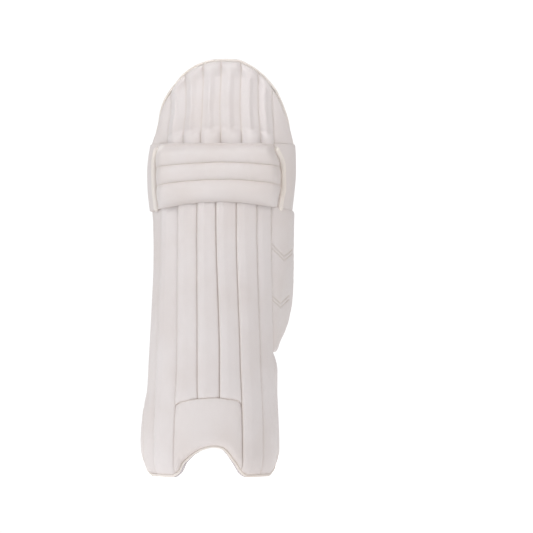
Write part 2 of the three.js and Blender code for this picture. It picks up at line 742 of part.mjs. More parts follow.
// A flat ribbon across the back between two ends, bowed behind them.
function ribbon(name, finish, shape) {
  const { start, end, width, wall, lift, from, to, count, taper } = shape;
  const run = end.x - start.x;
  const spot = (share, rise, off) => {
    const x = mix(start.x, end.x, share);
    const inset = Math.min(1, Math.max(0, (x - start.x - strapLanding) / (run - 2 * strapLanding)));
    const y = mix(start.y, end.y, inset) + strapBow * Math.sin(Math.PI * inset);
    return new THREE.Vector3(x, y + lift + off, mix(start.z, end.z, share) + rise);
  };
  const narrow = taper ?? (() => 1);
  const outer = (s, t) => spot(mix(from, to, s), (t - 0.5) * width * narrow(s), wall);
  const inner = (s, t) => spot(mix(from, to, s), (t - 0.5) * width * narrow(s), 0);
  slab(name, finish, even(count), even(2), outer, inner);
}

// Straps: each lands just behind the rims of the two sides.
function buildStraps() {
  const rim = (section, turn, z) => place(section, turn * radians, z, outerFloor + sideSeam);
  const landing = (section, turn, z, width) => {
    const heights = even(8).map((t) => z + mix(-width / 2, width / 2, t));
    const rearmost = Math.max(...heights.map((height) => rim(section, turn, height).y));
    return new THREE.Vector3(rim(section, turn, z).x, rearmost + strapGap, z);
  };
  const onStrap = strapWall + tabGap;
  const kneeHigh = kneeStrapHeight + kneeStrapSlant / 2;
  const kneeLow = kneeStrapHeight - kneeStrapSlant / 2;
  const knee = {
    start: landing(upperSection, -kneeReachDegrees, kneeHigh, kneeStrapWidth),
    end: landing(upperSection, kneeReachDegrees, kneeLow, kneeStrapWidth),
  };
  ribbon('knee_strap', 'strap', {
    ...knee, width: kneeStrapWidth, wall: strapWall, lift: 0, from: 0, to: 1, count: 16,
  });
  const kneeSpan = knee.end.x - knee.start.x;
  ribbon('knee_strap_badge', 'tab', {
    ...knee, width: kneeStrapWidth * 0.9, wall: tabWall, lift: onStrap,
    from: 1 - kneeBadgeLength / kneeSpan, to: 1, count: 4, taper: (s) => 1 - 0.85 * Math.max(0, s - 0.5) * 2,
  });
  const behindWing = wingBack + wingWall / 2 + seamGap;
  const calf = {
    start: landing(shinSection, -shinReachDegrees, calfStrapHeight, calfStrapWidth),
    end: new THREE.Vector3(wingSpread - strapLanding / 2, behindWing, calfStrapHeight),
  };
  ribbon('calf_strap', 'strap', {
    ...calf, width: calfStrapWidth, wall: strapWall, lift: 0, from: 0, to: 1.02, count: 16,
  });
  const calfSpan = calf.end.x - calf.start.x;
  ribbon('calf_strap_tab', 'tab', {
    ...calf, width: calfTabWidth, wall: tabWall, lift: onStrap,
    from: 1 - calfTabLength / calfSpan, to: 1, count: 8,
    taper: (s) => Math.min(1, 0.55 + 3 * s),
  });
  const ankle = {
    start: landing(shinSection, -shinReachDegrees, ankleStrapHeight, ankleStrapWidth),
    end: landing(shinSection, shinReachDegrees, ankleStrapHeight, ankleStrapWidth),
  };
  const ankleSpan = ankle.end.x - ankle.start.x;
  const fold = (ankleFold - ankle.start.x) / ankleSpan;
  ribbon('ankle_strap_base', 'strap', {
    ...ankle, width: ankleStrapWidth, wall: strapWall, lift: 0,
    from: fold - ankleOverlap / ankleSpan, to: 1, count: 9,
  });
  ribbon('ankle_strap', 'strap', {
    ...ankle, width: ankleStrapWidth, wall: strapWall, lift: onStrap, from: 0, to: fold, count: 12,
  });
  const badge = fold + ankleBadgeGap / ankleSpan;
  ribbon('ankle_strap_badge', 'tab', {
    ...ankle, width: ankleBadgeWidth, wall: tabWall, lift: onStrap,
    from: badge, to: badge + ankleBadgeLength / ankleSpan, count: 4,
    taper: (s) => 1 - 0.8 * Math.max(0, s - 0.3) / 0.7,
  });
}

buildShin();
buildWing();
buildKnee();
buildTopHat();
buildPiping();
buildLining();
buildCradle();
buildStraps();

// Stands the pad on the origin, in the middle of its outline.
const bounds = new THREE.Box3().setFromObject(pad);
pad.position.set(-(bounds.min.x + bounds.max.x) / 2, -(bounds.min.y + bounds.max.y) / 2, -bounds.min.z);

export default pad;
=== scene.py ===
import math

import bmesh
import bpy
import numpy as np
from mathutils import Matrix, Vector, noise


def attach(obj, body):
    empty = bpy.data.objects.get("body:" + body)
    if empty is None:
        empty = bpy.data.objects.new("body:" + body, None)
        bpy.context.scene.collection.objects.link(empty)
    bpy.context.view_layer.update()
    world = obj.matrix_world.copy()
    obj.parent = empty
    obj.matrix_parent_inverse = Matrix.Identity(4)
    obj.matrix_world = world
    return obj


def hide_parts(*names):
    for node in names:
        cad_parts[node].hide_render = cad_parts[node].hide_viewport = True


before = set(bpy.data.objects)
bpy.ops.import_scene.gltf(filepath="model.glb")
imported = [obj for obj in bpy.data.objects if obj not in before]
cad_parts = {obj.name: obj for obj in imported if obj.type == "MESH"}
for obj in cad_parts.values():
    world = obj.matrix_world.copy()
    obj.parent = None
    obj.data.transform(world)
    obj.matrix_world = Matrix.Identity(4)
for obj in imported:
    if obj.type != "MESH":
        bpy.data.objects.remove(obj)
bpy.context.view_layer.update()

# Sizes of the pad in metres, the same as its solids have.
SHIN_HEIGHT = 0.478
KNEE_HEIGHT = 0.094
TOP_HAT_HEIGHT = 0.148
KNEE_TOP = SHIN_HEIGHT + KNEE_HEIGHT
SHIN_HALF_WIDTH = 0.110
KNEE_HALF_WIDTH = 0.131
TOP_HAT_HALF_WIDTH = 0.124
SHIN_DEPTH = 0.080
KNEE_DEPTH = 0.078
TOP_HAT_DEPTH = 0.068
LEAN_BACK = 0.002
SHIN_AXIS = -0.008
KNEE_AXIS = 0.006
TOP_HAT_AXIS = 0.008

BACKING_WALL = 0.004
SIDE_PAD = 0.009
SIDE_SEAM = 0.003
SHIN_BOLSTER = 0.020
TOP_HAT_BOLSTER = 0.017
KNEE_ROLL = 0.038
INSTEP_PAD = 0.017
SEAM_DEPTH = 0.005
PIPING_RADIUS = 0.0024
TOP_HAT_LINING = 0.011
CHECK_LINING = 0.020
CENTRE_LINING = 0.009
LOBE_LINING = 0.010
CRADLE_PAD = 0.026
CRADLE_CENTRE = 0.009
WING_WALL = 0.010
STRAP_WALL = 0.0026
TAB_WALL = 0.002

SEAM_GAP = 0.0008
LAYER_GAP = 0.0008
LINING_GAP = 0.0012
STRAP_GAP = 0.0003
TAB_GAP = 0.0004
PIPING_LAP = 0.0009
WING_GAP = 0.0006

SHIN_REACH = math.radians(106)
KNEE_REACH = math.radians(100)
TOP_HAT_EDGE = math.radians(82)
TOP_HAT_WRAP = math.radians(91)
DOME_FALL = math.radians(19)
DOME_STEEPEST = 2.6
CRADLE_REACH = math.radians(84)

ARCH_HEIGHT = 0.051
PANEL_TOP = 0.137
PANEL_CROWN = 0.009
PANEL_CROWN_REACH = math.radians(30)
WING_FOOT = 0.214
WING_SPREAD = 0.130
WING_BACK = 0.050
WING_LEAVE = math.radians(82)
WING_TOP = SHIN_HEIGHT - 0.18 * KNEE_HEIGHT - 0.002
WING_ROOT_BACK = 0.004

LINING_MARGIN = 0.002
LINING_FOOT = 0.112
CENTRE_FOOT = 0.150
CENTRE_HALF_WIDTH = 0.028
CENTRE_OFFSET = -0.008
CHECK_WIDTH = 0.062
LOBE_TOP = 0.106
CRADLE_TOP = 0.585
CRADLE_FOOT = 0.494
CRADLE_LEFT = -0.032
CRADLE_RIGHT = 0.039

KNEE_STRAP_HEIGHT = 0.498
KNEE_STRAP_WIDTH = 0.025
KNEE_STRAP_SLANT = 0.018
CALF_STRAP_HEIGHT = 0.360
CALF_STRAP_WIDTH = 0.063
ANKLE_STRAP_HEIGHT = 0.158
ANKLE_STRAP_WIDTH = 0.058
STRAP_BOW = 0.022
STRAP_LANDING = 0.014
CALF_TAB_LENGTH = 0.084
CALF_TAB_WIDTH = 0.047
KNEE_BADGE_LENGTH = 0.022
ANKLE_BADGE_LENGTH = 0.032
ANKLE_BADGE_WIDTH = 0.038
ANKLE_OVERLAP = 0.044
ANKLE_FOLD = 0.029
ANKLE_BADGE_GAP = 0.004

# The solids are centred on the floor by this much.
CENTRING = np.array([0.00081, 0.02484, 0.0])

OUTER_FLOOR = BACKING_WALL + LAYER_GAP
INNER_FLOOR = -LINING_GAP
SIDE_LAYERS = BACKING_WALL + LAYER_GAP + SIDE_PAD


def mix(a, b, t):
    return a + (b - a) * t


def smooth(t):
    t = np.clip(t, 0, 1)
    return t * t * (3 - 2 * t)


def curve(*rows):
    """A smooth curve through rows of (key, value) that never overshoots them."""
    keys = np.array([row[0] for row in rows], float)
    values = np.array([row[1] for row in rows], float)
    rise = np.diff(values) / np.diff(keys)
    slope = np.zeros(len(keys))
    for i in range(1, len(keys) - 1):
        before, after = rise[i - 1], rise[i]
        slope[i] = 2 * before * after / (before + after) if before * after > 0 else 0

    def at(key):
        key = np.clip(key, keys[0], keys[-1])
        i = np.clip(np.searchsorted(keys, key, side="right") - 1, 0, len(keys) - 2)
        span = keys[i + 1] - keys[i]
        t = (key - keys[i]) / span
        leave = t * (1 - t) * (1 - t) * span * slope[i]
        arrive = t * t * (1 - t) * span * slope[i + 1]
        return mix(values[i], values[i + 1], t * t * (3 - 2 * t)) + leave - arrive

    return at


# Outlines as shares of the sizes above.
shin_left = curve((0, -1.2), (0.13, -1.24), (0.235, -1.2), (0.31, -1.136), (0.45, -1.1),
                  (0.62, -1.058), (0.78, -1.03), (0.92, -1.035), (1, -1.07))
shin_right = curve((0, 0.95), (0.13, 0.96), (0.235, 0.945), (0.31, 0.93), (0.45, 0.93),
                   (0.62, 1.0), (0.78, 1.1), (0.92, 1.17), (1, 1.19))
shin_deep = curve((0, 1.1), (0.13, 1.05), (0.235, 1.01), (0.31, 1.0), (0.45, 0.98),
                  (0.62, 0.965), (0.78, 0.96), (0.92, 0.965), (1, 0.975))
knee_left = curve((-0.25, -0.92), (0.1, -0.94), (0.5, -0.952), (1, -0.915), (1.4, -0.89))
knee_right = curve((-0.25, 0.985), (0.1, 1.005), (0.5, 1.03), (1, 1.02), (1.4, 1.008))
knee_deep = curve((-0.25, 1), (0.1, 1), (0.5, 1), (1, 0.98), (1.4, 0.96))
shin_edge = curve((-106, 1.2), (-90, 0.6), (-80, 0.24), (-70, 0.06), (-63, 0), (-37, 0),
                  (-30, 0.14), (-25, 0.45), (-8, 0.93), (0, 1), (7, 0.96), (19, 0.49),
                  (28, 0.08), (34, 0), (63, 0), (70, 0.08), (80, 0.24), (90, 0.55), (106, 1.1))
dome_rise = curve((-1, 0.02), (-0.96, 0.149), (-0.918, 0.29), (-0.89, 0.432), (-0.82, 0.572),
                  (-0.694, 0.713), (-0.541, 0.851), (-0.35, 0.945), (-0.12, 0.995), (0.04, 1),
                  (0.2, 0.995), (0.381, 0.935), (0.548, 0.842), (0.66, 0.748), (0.757, 0.642),
                  (0.869, 0.432), (0.939, 0.233), (0.994, 0.034))
wing_out = curve((0, 0), (0.06, 0.14), (0.14, 0.45), (0.24, 0.72), (0.38, 0.93), (0.52, 1), (1, 0.98))
wing_back = curve((0, 0), (0.06, 0.3), (0.14, 0.58), (0.24, 0.8), (0.38, 0.95), (0.52, 1), (1, 1))
SHIN_SEAM_LEVELS = (0.13, 0.42, 0.925)
SHIN_SEAMS = ((-0.964, -0.916, -0.845), (-0.665, -0.602, -0.586), (-0.303, -0.303, -0.303),
              (0.02, 0.02, -0.027), (0.358, 0.319, 0.272), (0.657, 0.617, 0.578), (0.885, 0.83, 0.806))
TOP_HAT_SEAM_LEVELS = (0.1, 0.45, 0.85)
TOP_HAT_SEAMS = ((-0.755, -0.709, -0.708), (-0.535, -0.499, -0.505), (-0.295, -0.276, -0.262),
                 (-0.026, -0.039, -0.02), (0.252, 0.234, 0.246), (0.508, 0.478, 0.478),
                 (0.696, 0.673, 0.667))
SHIN_FULLNESS = (0.75, 0.95, 1, 1, 0.9, 0.65)
TOP_HAT_FULLNESS = (0.8, 0.95, 1, 1, 0.95, 0.75)
ROLL_EDGES = ((0.0, 0.18), (0.356, 0.16), (0.668, 0.12), (1.0, 0.0))
ROLL_LEFT = curve((-0.1, -0.785), (0.2, -0.805), (0.65, -0.81), (1, -0.78))
ROLL_RIGHT = curve((-0.1, 0.785), (0.25, 0.822), (0.63, 0.815), (1, 0.73))
WELT_STEP = 0.0024
ROLL_EASE = 0.17
ROLL_END = 0.16
ROLL_HANG = 0.006


def axis_y(z):
    return LEAN_BACK * z / (KNEE_TOP + TOP_HAT_HEIGHT)


def shin_section(z):
    level = z / SHIN_HEIGHT
    axis = mix(SHIN_AXIS, KNEE_AXIS, smooth(2 * level - 1) * 0.7)
    left = -SHIN_HALF_WIDTH * shin_left(level) + axis - SIDE_LAYERS
    right = SHIN_HALF_WIDTH * shin_right(level) - axis - SIDE_LAYERS
    return axis, left, right, SHIN_DEPTH * shin_deep(level)


def upper_section(z):
    level = (z - SHIN_HEIGHT) / KNEE_HEIGHT
    axis = mix(KNEE_AXIS, TOP_HAT_AXIS, np.clip(level, 0, 1))
    left = -KNEE_HALF_WIDTH * knee_left(level) + axis - SIDE_LAYERS
    right = KNEE_HALF_WIDTH * knee_right(level) - axis - SIDE_LAYERS
    top = np.clip((z - KNEE_TOP) / TOP_HAT_HEIGHT, 0, 1)
    return axis, left, right, mix(KNEE_DEPTH * knee_deep(level), TOP_HAT_DEPTH, top)


def place(section, turn, z, lift):
    """Points round the leg at a height, lifted off the inner face of the backing."""
    turn, z, lift = np.broadcast_arrays(np.asarray(turn, float), z, lift)
    axis, left, right, depth = section(z)
    half = np.where(turn < 0, left, right)
    side, front = np.sin(turn), np.cos(turn)
    length = np.hypot(depth * side, half * front)
    x = axis + half * side + lift * depth * side / length
    y = axis_y(z) - depth * front - lift * half * front / length
    return np.stack([x, y, z], axis=-1)


def turn_at(section, x, z, lift):
    """The turn at which a lifted point stands at a given x."""
    low = np.full(np.shape(z), -math.pi / 2)
    high = -low
    for _ in range(24):
        middle = (low + high) / 2
        before = place(section, middle, z, lift)[..., 0] < x
        low = np.where(before, middle, low)
        high = np.where(before, high, middle)
    return (low + high) / 2


def line_at(section, low, high, x_of, lift=OUTER_FLOOR + SEAM_DEPTH):
    """A line up the pad, given by its x at each height, as turns kept in a table."""
    heights = np.linspace(low, high, 160)
    turns = turn_at(section, x_of(heights), heights, lift)
    return lambda z: np.interp(z, heights, turns)


def fixed(value):
    return lambda _: value


def shin_low(turn):
    return ARCH_HEIGHT * shin_edge(np.degrees(turn))


def steepness(section, edge, turn):
    """How much longer an edge is than its run round the leg, where it climbs."""
    step = math.radians(1.5)
    behind = place(section, turn - step, edge(turn), OUTER_FLOOR)
    ahead = place(section, turn + step, edge(turn), OUTER_FLOOR)
    run = np.linalg.norm(ahead - behind, axis=-1)
    return np.hypot(1, (edge(turn + step) - edge(turn - step)) / run)


def above_base_piping(turn):
    return shin_low(turn) + (2 * PIPING_RADIUS - PIPING_LAP) * steepness(shin_section, shin_low, turn)


def roll_edge(edge):
    middle, drop = ROLL_EDGES[edge]
    end = math.sin(KNEE_REACH)
    return lambda turn: SHIN_HEIGHT + KNEE_HEIGHT * (middle - drop * (np.sin(turn) / end) ** 2)


def shin_high(turn):
    return roll_edge(0)(turn) - SEAM_GAP / 2


def dome_high(lift):
    def high(turn):
        spread = place(upper_section, turn, KNEE_TOP, lift)[..., 0] - TOP_HAT_AXIS
        fall = smooth((TOP_HAT_WRAP - np.abs(turn)) / DOME_FALL)
        return KNEE_TOP + TOP_HAT_HEIGHT * dome_rise(spread / TOP_HAT_HALF_WIDTH) * fall
    return high


def below_dome(lift, margin, foot=KNEE_TOP):
    """The dome's edge less a margin measured across it, down to a foot."""
    edge = dome_high(lift)

    def high(turn):
        drop = margin * np.minimum(DOME_STEEPEST, steepness(upper_section, edge, turn))
        return np.maximum(foot + SEAM_GAP, edge(turn) - drop)
    return high


# Neighbours meet in their seams.
SEAM_LAP = 0.0001


def shin_seam(seam, side):
    share = curve(*zip(SHIN_SEAM_LEVELS, SHIN_SEAMS[seam]))
    return line_at(shin_section, -0.01, SHIN_HEIGHT + 0.01,
                   lambda z: SHIN_HALF_WIDTH * share(z / SHIN_HEIGHT) - side * SEAM_LAP)


def top_hat_seam(seam, side):
    share = curve(*zip(TOP_HAT_SEAM_LEVELS, TOP_HAT_SEAMS[seam]))
    return line_at(upper_section, KNEE_TOP - 0.01, KNEE_TOP + TOP_HAT_HEIGHT + 0.01,
                   lambda z: TOP_HAT_AXIS - side * SEAM_LAP
                   + TOP_HAT_HALF_WIDTH * share((z - KNEE_TOP) / TOP_HAT_HEIGHT))


def upright(section, x, lift=OUTER_FLOOR + SEAM_DEPTH):
    return line_at(section, -0.01, KNEE_TOP + 0.05, lambda z: np.full(np.shape(z), x), lift)


# How full a form is across its width, and how it closes over its ends.
def crown(s, square=2.0):
    return (1 - np.abs(2 * s - 1) ** square).clip(0) ** (1 / square)


def cushion(square, power):
    """The fullness of a pad that is closed on all four sides."""
    return lambda s, t: crown(s, square) ** power * crown(t, square) ** power


def pillow(s, round=0.88):
    """An arc that meets its seams at a slope, as stuffed channels side by side do."""
    edge = math.sqrt(1 - round ** 2)
    return (np.sqrt(1 - (round * (2 * np.clip(s, 0, 1) - 1)) ** 2) - edge) / (1 - edge)


def closing(t, near, square=2.0):
    end = np.clip(np.minimum(t, 1 - t) / near, 0, 1)
    return (1 - (1 - end) ** square).clip(0) ** (1 / square)


def ripple(points, size, seed=0.0):
    """Smooth noise from -1 to 1 with lumps of a given size in metres."""
    shift = Vector((seed * 3.7, seed * 1.3, seed * 7.1))
    return np.array([noise.noise(Vector(p) / size + shift) for p in np.atleast_2d(points)])


def around(section, start, end, low, high):
    """A patch round the leg between two turns and two edges."""
    def spot(s, t, lift):
        z = mix(low(0.0), high(0.0), t)
        for _ in range(8):
            turn = mix(start(z), end(z), s)
            z = mix(low(turn), high(turn), t)
        return place(section, turn, z, lift)
    return spot


# How far the painted shade of a seam, partly a soiled tone, reaches from a piece's edges.
SEAM_SHADE_AND_SOIL_REACH = 0.001

materials = {}


def ride(piece, finish, nodes=()):
    piece.data.materials.append(materials[finish])
    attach(piece, "root")
    if nodes:
        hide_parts(*nodes)
    return piece


def finish_mesh(name, bm, angle=50):
    bmesh.ops.recalc_face_normals(bm, faces=bm.faces[:])
    mesh = bpy.data.meshes.new(name)
    bm.to_mesh(mesh)
    bm.free()
    mesh.polygons.foreach_set("use_smooth", [True] * len(mesh.polygons))
    mesh.set_sharp_from_angle(angle=math.radians(angle))
    piece = bpy.data.objects.new(name, mesh)
    bpy.context.scene.collection.objects.link(piece)
    return piece


def crowded(t, ends):
    """Shares drawn towards both ends, where a form turns fastest."""
    return mix(t, (1 - np.cos(math.pi * t)) / 2, ends)


class Patch:
    """A sewn form over a patch: a face that swells from its seams and a flat back."""

    def __init__(self, spot, floor, seam, height, swell, relief=None, marks=None):
        self.spot = spot
        self.floor = floor
        self.seam = floor + math.copysign(seam, height)
        self.full = floor + height
        self.swell = swell
        self.relief = relief
        self.marks = marks
        middle = np.full(33, 0.5)
        shares = np.linspace(0, 1, 33)
        across = spot(shares, middle, self.seam)
        along = spot(middle, shares, self.seam)
        self.width = np.linalg.norm(np.diff(across, axis=0), axis=1).sum()
        self.length = np.linalg.norm(np.diff(along, axis=0), axis=1).sum()

    def face(self, s, t, off=0.0):
        s, t = np.broadcast_arrays(np.asarray(s, float), np.asarray(t, float))
        lift = mix(self.seam, self.full, self.swell(s, t))
        if self.relief:
            lift = lift + math.copysign(1, self.full - self.floor) * self.relief(self, s, t)
        return self.spot(s, t, lift + math.copysign(off, self.full - self.floor))

    def back(self, s, t):
        return self.spot(s, t, np.full(np.shape(s), self.floor))

    def build(self, name, finish, nodes, columns, rows, fill=0.75, crowd=(0.6, 0.3)):
        bm = bmesh.new()
        seam = bm.verts.layers.float.new("seam")
        cut = bm.loops.layers.uv.new("cut")
        bmesh.ops.create_grid(bm, x_segments=columns, y_segments=rows, size=0.5)
        grown = bmesh.ops.extrude_face_region(bm, geom=bm.faces[:])
        raised = {v for v in grown["geom"] if isinstance(v, bmesh.types.BMVert)}
        verts = bm.verts[:]
        s = crowded(np.array([v.co.x + 0.5 for v in verts]), crowd[0])
        t = crowded(np.array([v.co.y + 0.5 for v in verts]), crowd[1])
        front = np.array([v in raised for v in verts])
        spots = np.where(front[:, None], self.face(s, t), self.back(s, t)) + CENTRING
        # Painted shade: the seam attribute darkens the colour in a band along the piece's edges and along
        # any marked lines, where shade falls in the seams; it is partly a soiled seam tone.
        near = np.minimum(np.minimum(s, 1 - s) * self.width, np.minimum(t, 1 - t) * self.length)
        seam_shade_and_soil = np.exp(-near / SEAM_SHADE_AND_SOIL_REACH)
        if self.marks:
            seam_shade_and_soil = np.maximum(seam_shade_and_soil, self.marks(self, s, t) * front)
        for i, vert in enumerate(verts):
            vert.co = spots[i]
            vert[seam] = seam_shade_and_soil[i]
        bm.verts.index_update()
        for face in bm.faces:
            for loop in face.loops:
                i = loop.vert.index
                loop[cut].uv = ((s[i] - 0.5) * self.width, (t[i] - 0.5) * self.length)
        return ride(finish_mesh(name, bm), finish, nodes)


# Relief of sewn leather and cloth: lumps of the filling, gathers at the seams, creases.
def filling(amount, size, seed):
    return lambda patch, s, t: amount * ripple(
        np.c_[s * patch.width, t * patch.length, 0 * s], size, seed)


def gathers(depth, pitch, reach, seed, ends=False):
    def relief(patch, s, t):
        if ends:
            near = np.minimum(t, 1 - t) * patch.length
            run = np.c_[s * patch.width / pitch, np.round(t) * 9, near / reach * 0.3]
        else:
            near = np.minimum(s, 1 - s) * patch.width
            run = np.c_[t * patch.length / pitch, np.round(s) * 9, near / reach * 0.3]
        return -depth * np.exp(-((near / reach) ** 1.5)) * (0.5 + ripple(run, 1.0, seed))
    return relief


def together(*reliefs):
    return lambda patch, s, t: sum(relief(patch, s, t) for relief in reliefs)


def sewn(height, size, seed, pull=0.0006, pitch=0.008, reach=0.008):
    """What most pieces have: a lumpy filling, and gathers along both side seams."""
    return together(filling(height, size, seed), gathers(pull, pitch, reach, seed + 1))


def tube(name, finish, points, radius, nodes=(), sides=12):
    """A closed round tube along points, with its ends rounded off."""
    points = np.asarray(points) + CENTRING
    ahead = np.roll(points, -1, axis=0)
    ahead[-1] = points[-1]
    behind = np.roll(points, 1, axis=0)
    behind[0] = points[0]
    along = ahead - behind
    along /= np.linalg.norm(along, axis=1)[:, None]
    out = points * [1, 1, 0]
    out /= np.linalg.norm(out, axis=1)[:, None]
    first = np.cross(along, out)
    first /= np.linalg.norm(first, axis=1)[:, None]
    second = np.cross(first, along)
    run = np.r_[0, np.cumsum(np.linalg.norm(np.diff(points, axis=0), axis=1))]
    bm = bmesh.new()
    rows = len(points) - 1
    bmesh.ops.create_grid(bm, x_segments=sides, y_segments=rows, size=0.5)
    cut = bm.loops.layers.uv.new("cut")
    for face in bm.faces:
        for loop in face.loops:
            co = loop.vert.co
            row = round((co.y + 0.5) * rows)
            loop[cut].uv = ((co.x + 0.5) * 2 * math.pi * radius, run[row])
    for vert in bm.verts:
        angle = 2 * math.pi * (vert.co.x + 0.5)
        row = round((vert.co.y + 0.5) * rows)
        end = min(run[row], run[-1] - run[row]) / radius
        wide = radius * (math.sqrt(1 - (1 - end) ** 2) if end < 1 else 1)
        wide = max(wide, radius * 0.25)
        vert.co = points[row] + wide * (first[row] * math.cos(angle) + second[row] * math.sin(angle))
    bmesh.ops.remove_doubles(bm, verts=bm.verts[:], dist=1e-6)
    bmesh.ops.holes_fill(bm, edges=[e for e in bm.edges if e.is_boundary], sides=0)
    return ride(finish_mesh(name, bm), finish, nodes)


def stitches(name, lines, pitch=0.0042, long=0.0030, thick=0.00042):
    """Rows of thread stitches along lines of points, joined into one piece."""
    bm = bmesh.new()
    for line in lines:
        points = np.asarray(line) + CENTRING
        run = np.r_[0, np.cumsum(np.linalg.norm(np.diff(points, axis=0), axis=1))]
        for at in np.arange(pitch / 2, run[-1], pitch):
            spot, ahead, behind = (Vector([np.interp(r, run, points[:, k]) for k in range(3)])
                                   for r in (at, min(run[-1], at + 0.001), max(0, at - 0.001)))
            turn = (ahead - behind).to_track_quat("X", "Z").to_matrix().to_4x4()
            size = Matrix.Diagonal((long / 2, thick, thick, 1))
            bmesh.ops.create_icosphere(bm, subdivisions=1, radius=1,
                                       matrix=Matrix.Translation(spot) @ turn @ size)
    return ride(finish_mesh(name, bm, 180), "thread")


# Materials.
def new_material(name, roughness):
    material = bpy.data.materials.new(name)
    material.use_nodes = True
    shader = material.node_tree.nodes["Principled BSDF"]
    shader.inputs["Roughness"].default_value = roughness
    materials[name] = material
    return material.node_tree, shader


def node(tree, kind, inputs=None, **settings):
    made = tree.nodes.new(kind)
    for key, value in settings.items():
        setattr(made, key, value)
    for key, value in (inputs or {}).items():
        if isinstance(value, bpy.types.NodeSocket):
            tree.links.new(value, made.inputs[key])
        else:
            made.inputs[key].default_value = value
    return made


def blend(tree, factor, first, second, mode="MIX"):
    made = node(tree, "ShaderNodeMix", data_type="RGBA", blend_type=mode)
    for socket, value in ((made.inputs[0], factor), (made.inputs[6], first), (made.inputs[7], second)):
        if isinstance(value, bpy.types.NodeSocket):
            tree.links.new(value, socket)
        elif isinstance(value, (int, float)):
            socket.default_value = value
        else:
            socket.default_value = (*value, 1)
    return made.outputs[2]


def remap(tree, value, low, high, to_low=0.0, to_high=1.0):
    return node(tree, "ShaderNodeMapRange", {
        "Value": value, "From Min": low, "From Max": high, "To Min": to_low, "To Max": to_high},
        interpolation_type="SMOOTHSTEP").outputs["Result"]


def product(tree, first, second):
    return node(tree, "ShaderNodeMath", {0: first, 1: second}, operation="MULTIPLY").outputs[0]


def lumps(tree, spots, scale, detail, **more):
    inputs = {"Vector": spots, "Scale": scale, "Detail": detail, **more}
    return node(tree, "ShaderNodeTexNoise", inputs).outputs["Fac"]


def bumps(tree, shader, *layers):
    """Layers of relief, each of a height, its distance in metres and its strength."""
    under = {}
    for height, distance, strength in layers:
        made = node(tree, "ShaderNodeBump", {
            "Height": height, "Distance": distance, "Strength": strength, **under})
        under = {"Normal": made.outputs[0]}
    tree.links.new(under["Normal"], shader.inputs["Normal"])


def paint_seam_shade_and_soil(tree, shader, tone, seam_shade_and_soil_tone, share):
    """A tone that turns to a darker one along the seams: painted shade in the seams, partly a soiled tone.
    """
    seam = node(tree, "ShaderNodeAttribute", attribute_name="seam").outputs["Fac"]
    seam_shade_and_soil = product(tree, seam, share)
    tree.links.new(blend(tree, seam_shade_and_soil, tone, seam_shade_and_soil_tone), shader.inputs["Base Color"])


def leather(name, light, warm, seam_shade_and_soil_tone, roughness, grain=0.0009, depth=0.00006):
    """Soft coated cover: even tone, warmer in patches, with painted shade along the seams that is partly a
    soiled tone, and a fine grain.
    """
    tree, shader = new_material(name, roughness)
    spots = node(tree, "ShaderNodeTexCoord").outputs["Object"]
    tone = blend(tree, remap(tree, lumps(tree, spots, 11.0, 3.0), 0.35, 0.72), light, warm)
    marks = lumps(tree, spots, 160.0, 2.0)
    paint_seam_shade_and_soil(tree, shader, tone, seam_shade_and_soil_tone, remap(tree, marks, 0.2, 0.8, 0.55, 1.0))
    rough = remap(tree, marks, 0.2, 0.8, roughness - 0.06, roughness + 0.08)
    tree.links.new(rough, shader.inputs["Roughness"])
    cells = node(tree, "ShaderNodeTexVoronoi", {"Vector": spots, "Scale": 1 / grain},
                 feature="DISTANCE_TO_EDGE").outputs["Distance"]
    creases = lumps(tree, spots, 70.0, 4.0, Distortion=0.6)
    bumps(tree, shader, (remap(tree, cells, 0.0, 0.25), depth, 0.7), (creases, 0.0012, 0.35))
    shader.inputs["Specular IOR Level"].default_value = 0.4
    return shader


def threads(tree, coordinate, pitch):
    """Raised threads across one coordinate."""
    turns = product(tree, coordinate, 2 * math.pi / pitch)
    return node(tree, "ShaderNodeMath", {0: turns}, operation="SINE").outputs[0]


def woven(name, roughness, across, along, depth):
    """Woven cloth with threads of two pitches. Gives its tree, shader, coordinates and weave."""
    tree, shader = new_material(name, roughness)
    spots = node(tree, "ShaderNodeUVMap", uv_map="cut").outputs[0]
    apart = node(tree, "ShaderNodeSeparateXYZ", {0: spots})
    weft = threads(tree, apart.outputs[0], across)
    weave = product(tree, weft, threads(tree, apart.outputs[1], along))
    fibres = lumps(tree, spots, 900.0, 3.0)
    bumps(tree, shader, (weave, depth, 0.6), (fibres, depth * 2, 0.5))
    shader.inputs["Sheen Weight"].default_value = 0.25
    shader.inputs["Sheen Roughness"].default_value = 0.5
    shader.inputs["Specular IOR Level"].default_value = 0.2
    return tree, shader, spots, weave


def cloth(name, light, shade, roughness=0.85, across=0.0011, along=0.0011, depth=0.00012):
    tree, shader, spots, weave = woven(name, roughness, across, along, depth)
    tone = blend(tree, remap(tree, weave, -1.0, 1.0, 0.0, 0.5), light, shade)
    patches = remap(tree, lumps(tree, spots, 14.0, 3.0), 0.35, 0.75, 0.0, 0.45)
    tone = blend(tree, patches, tone, shade)
    # Painted shade along the seams, partly a soiled tone, in a darker tone than the cloth's own.
    paint_seam_shade_and_soil(tree, shader, tone, tuple(0.72 * c for c in shade), 0.6)


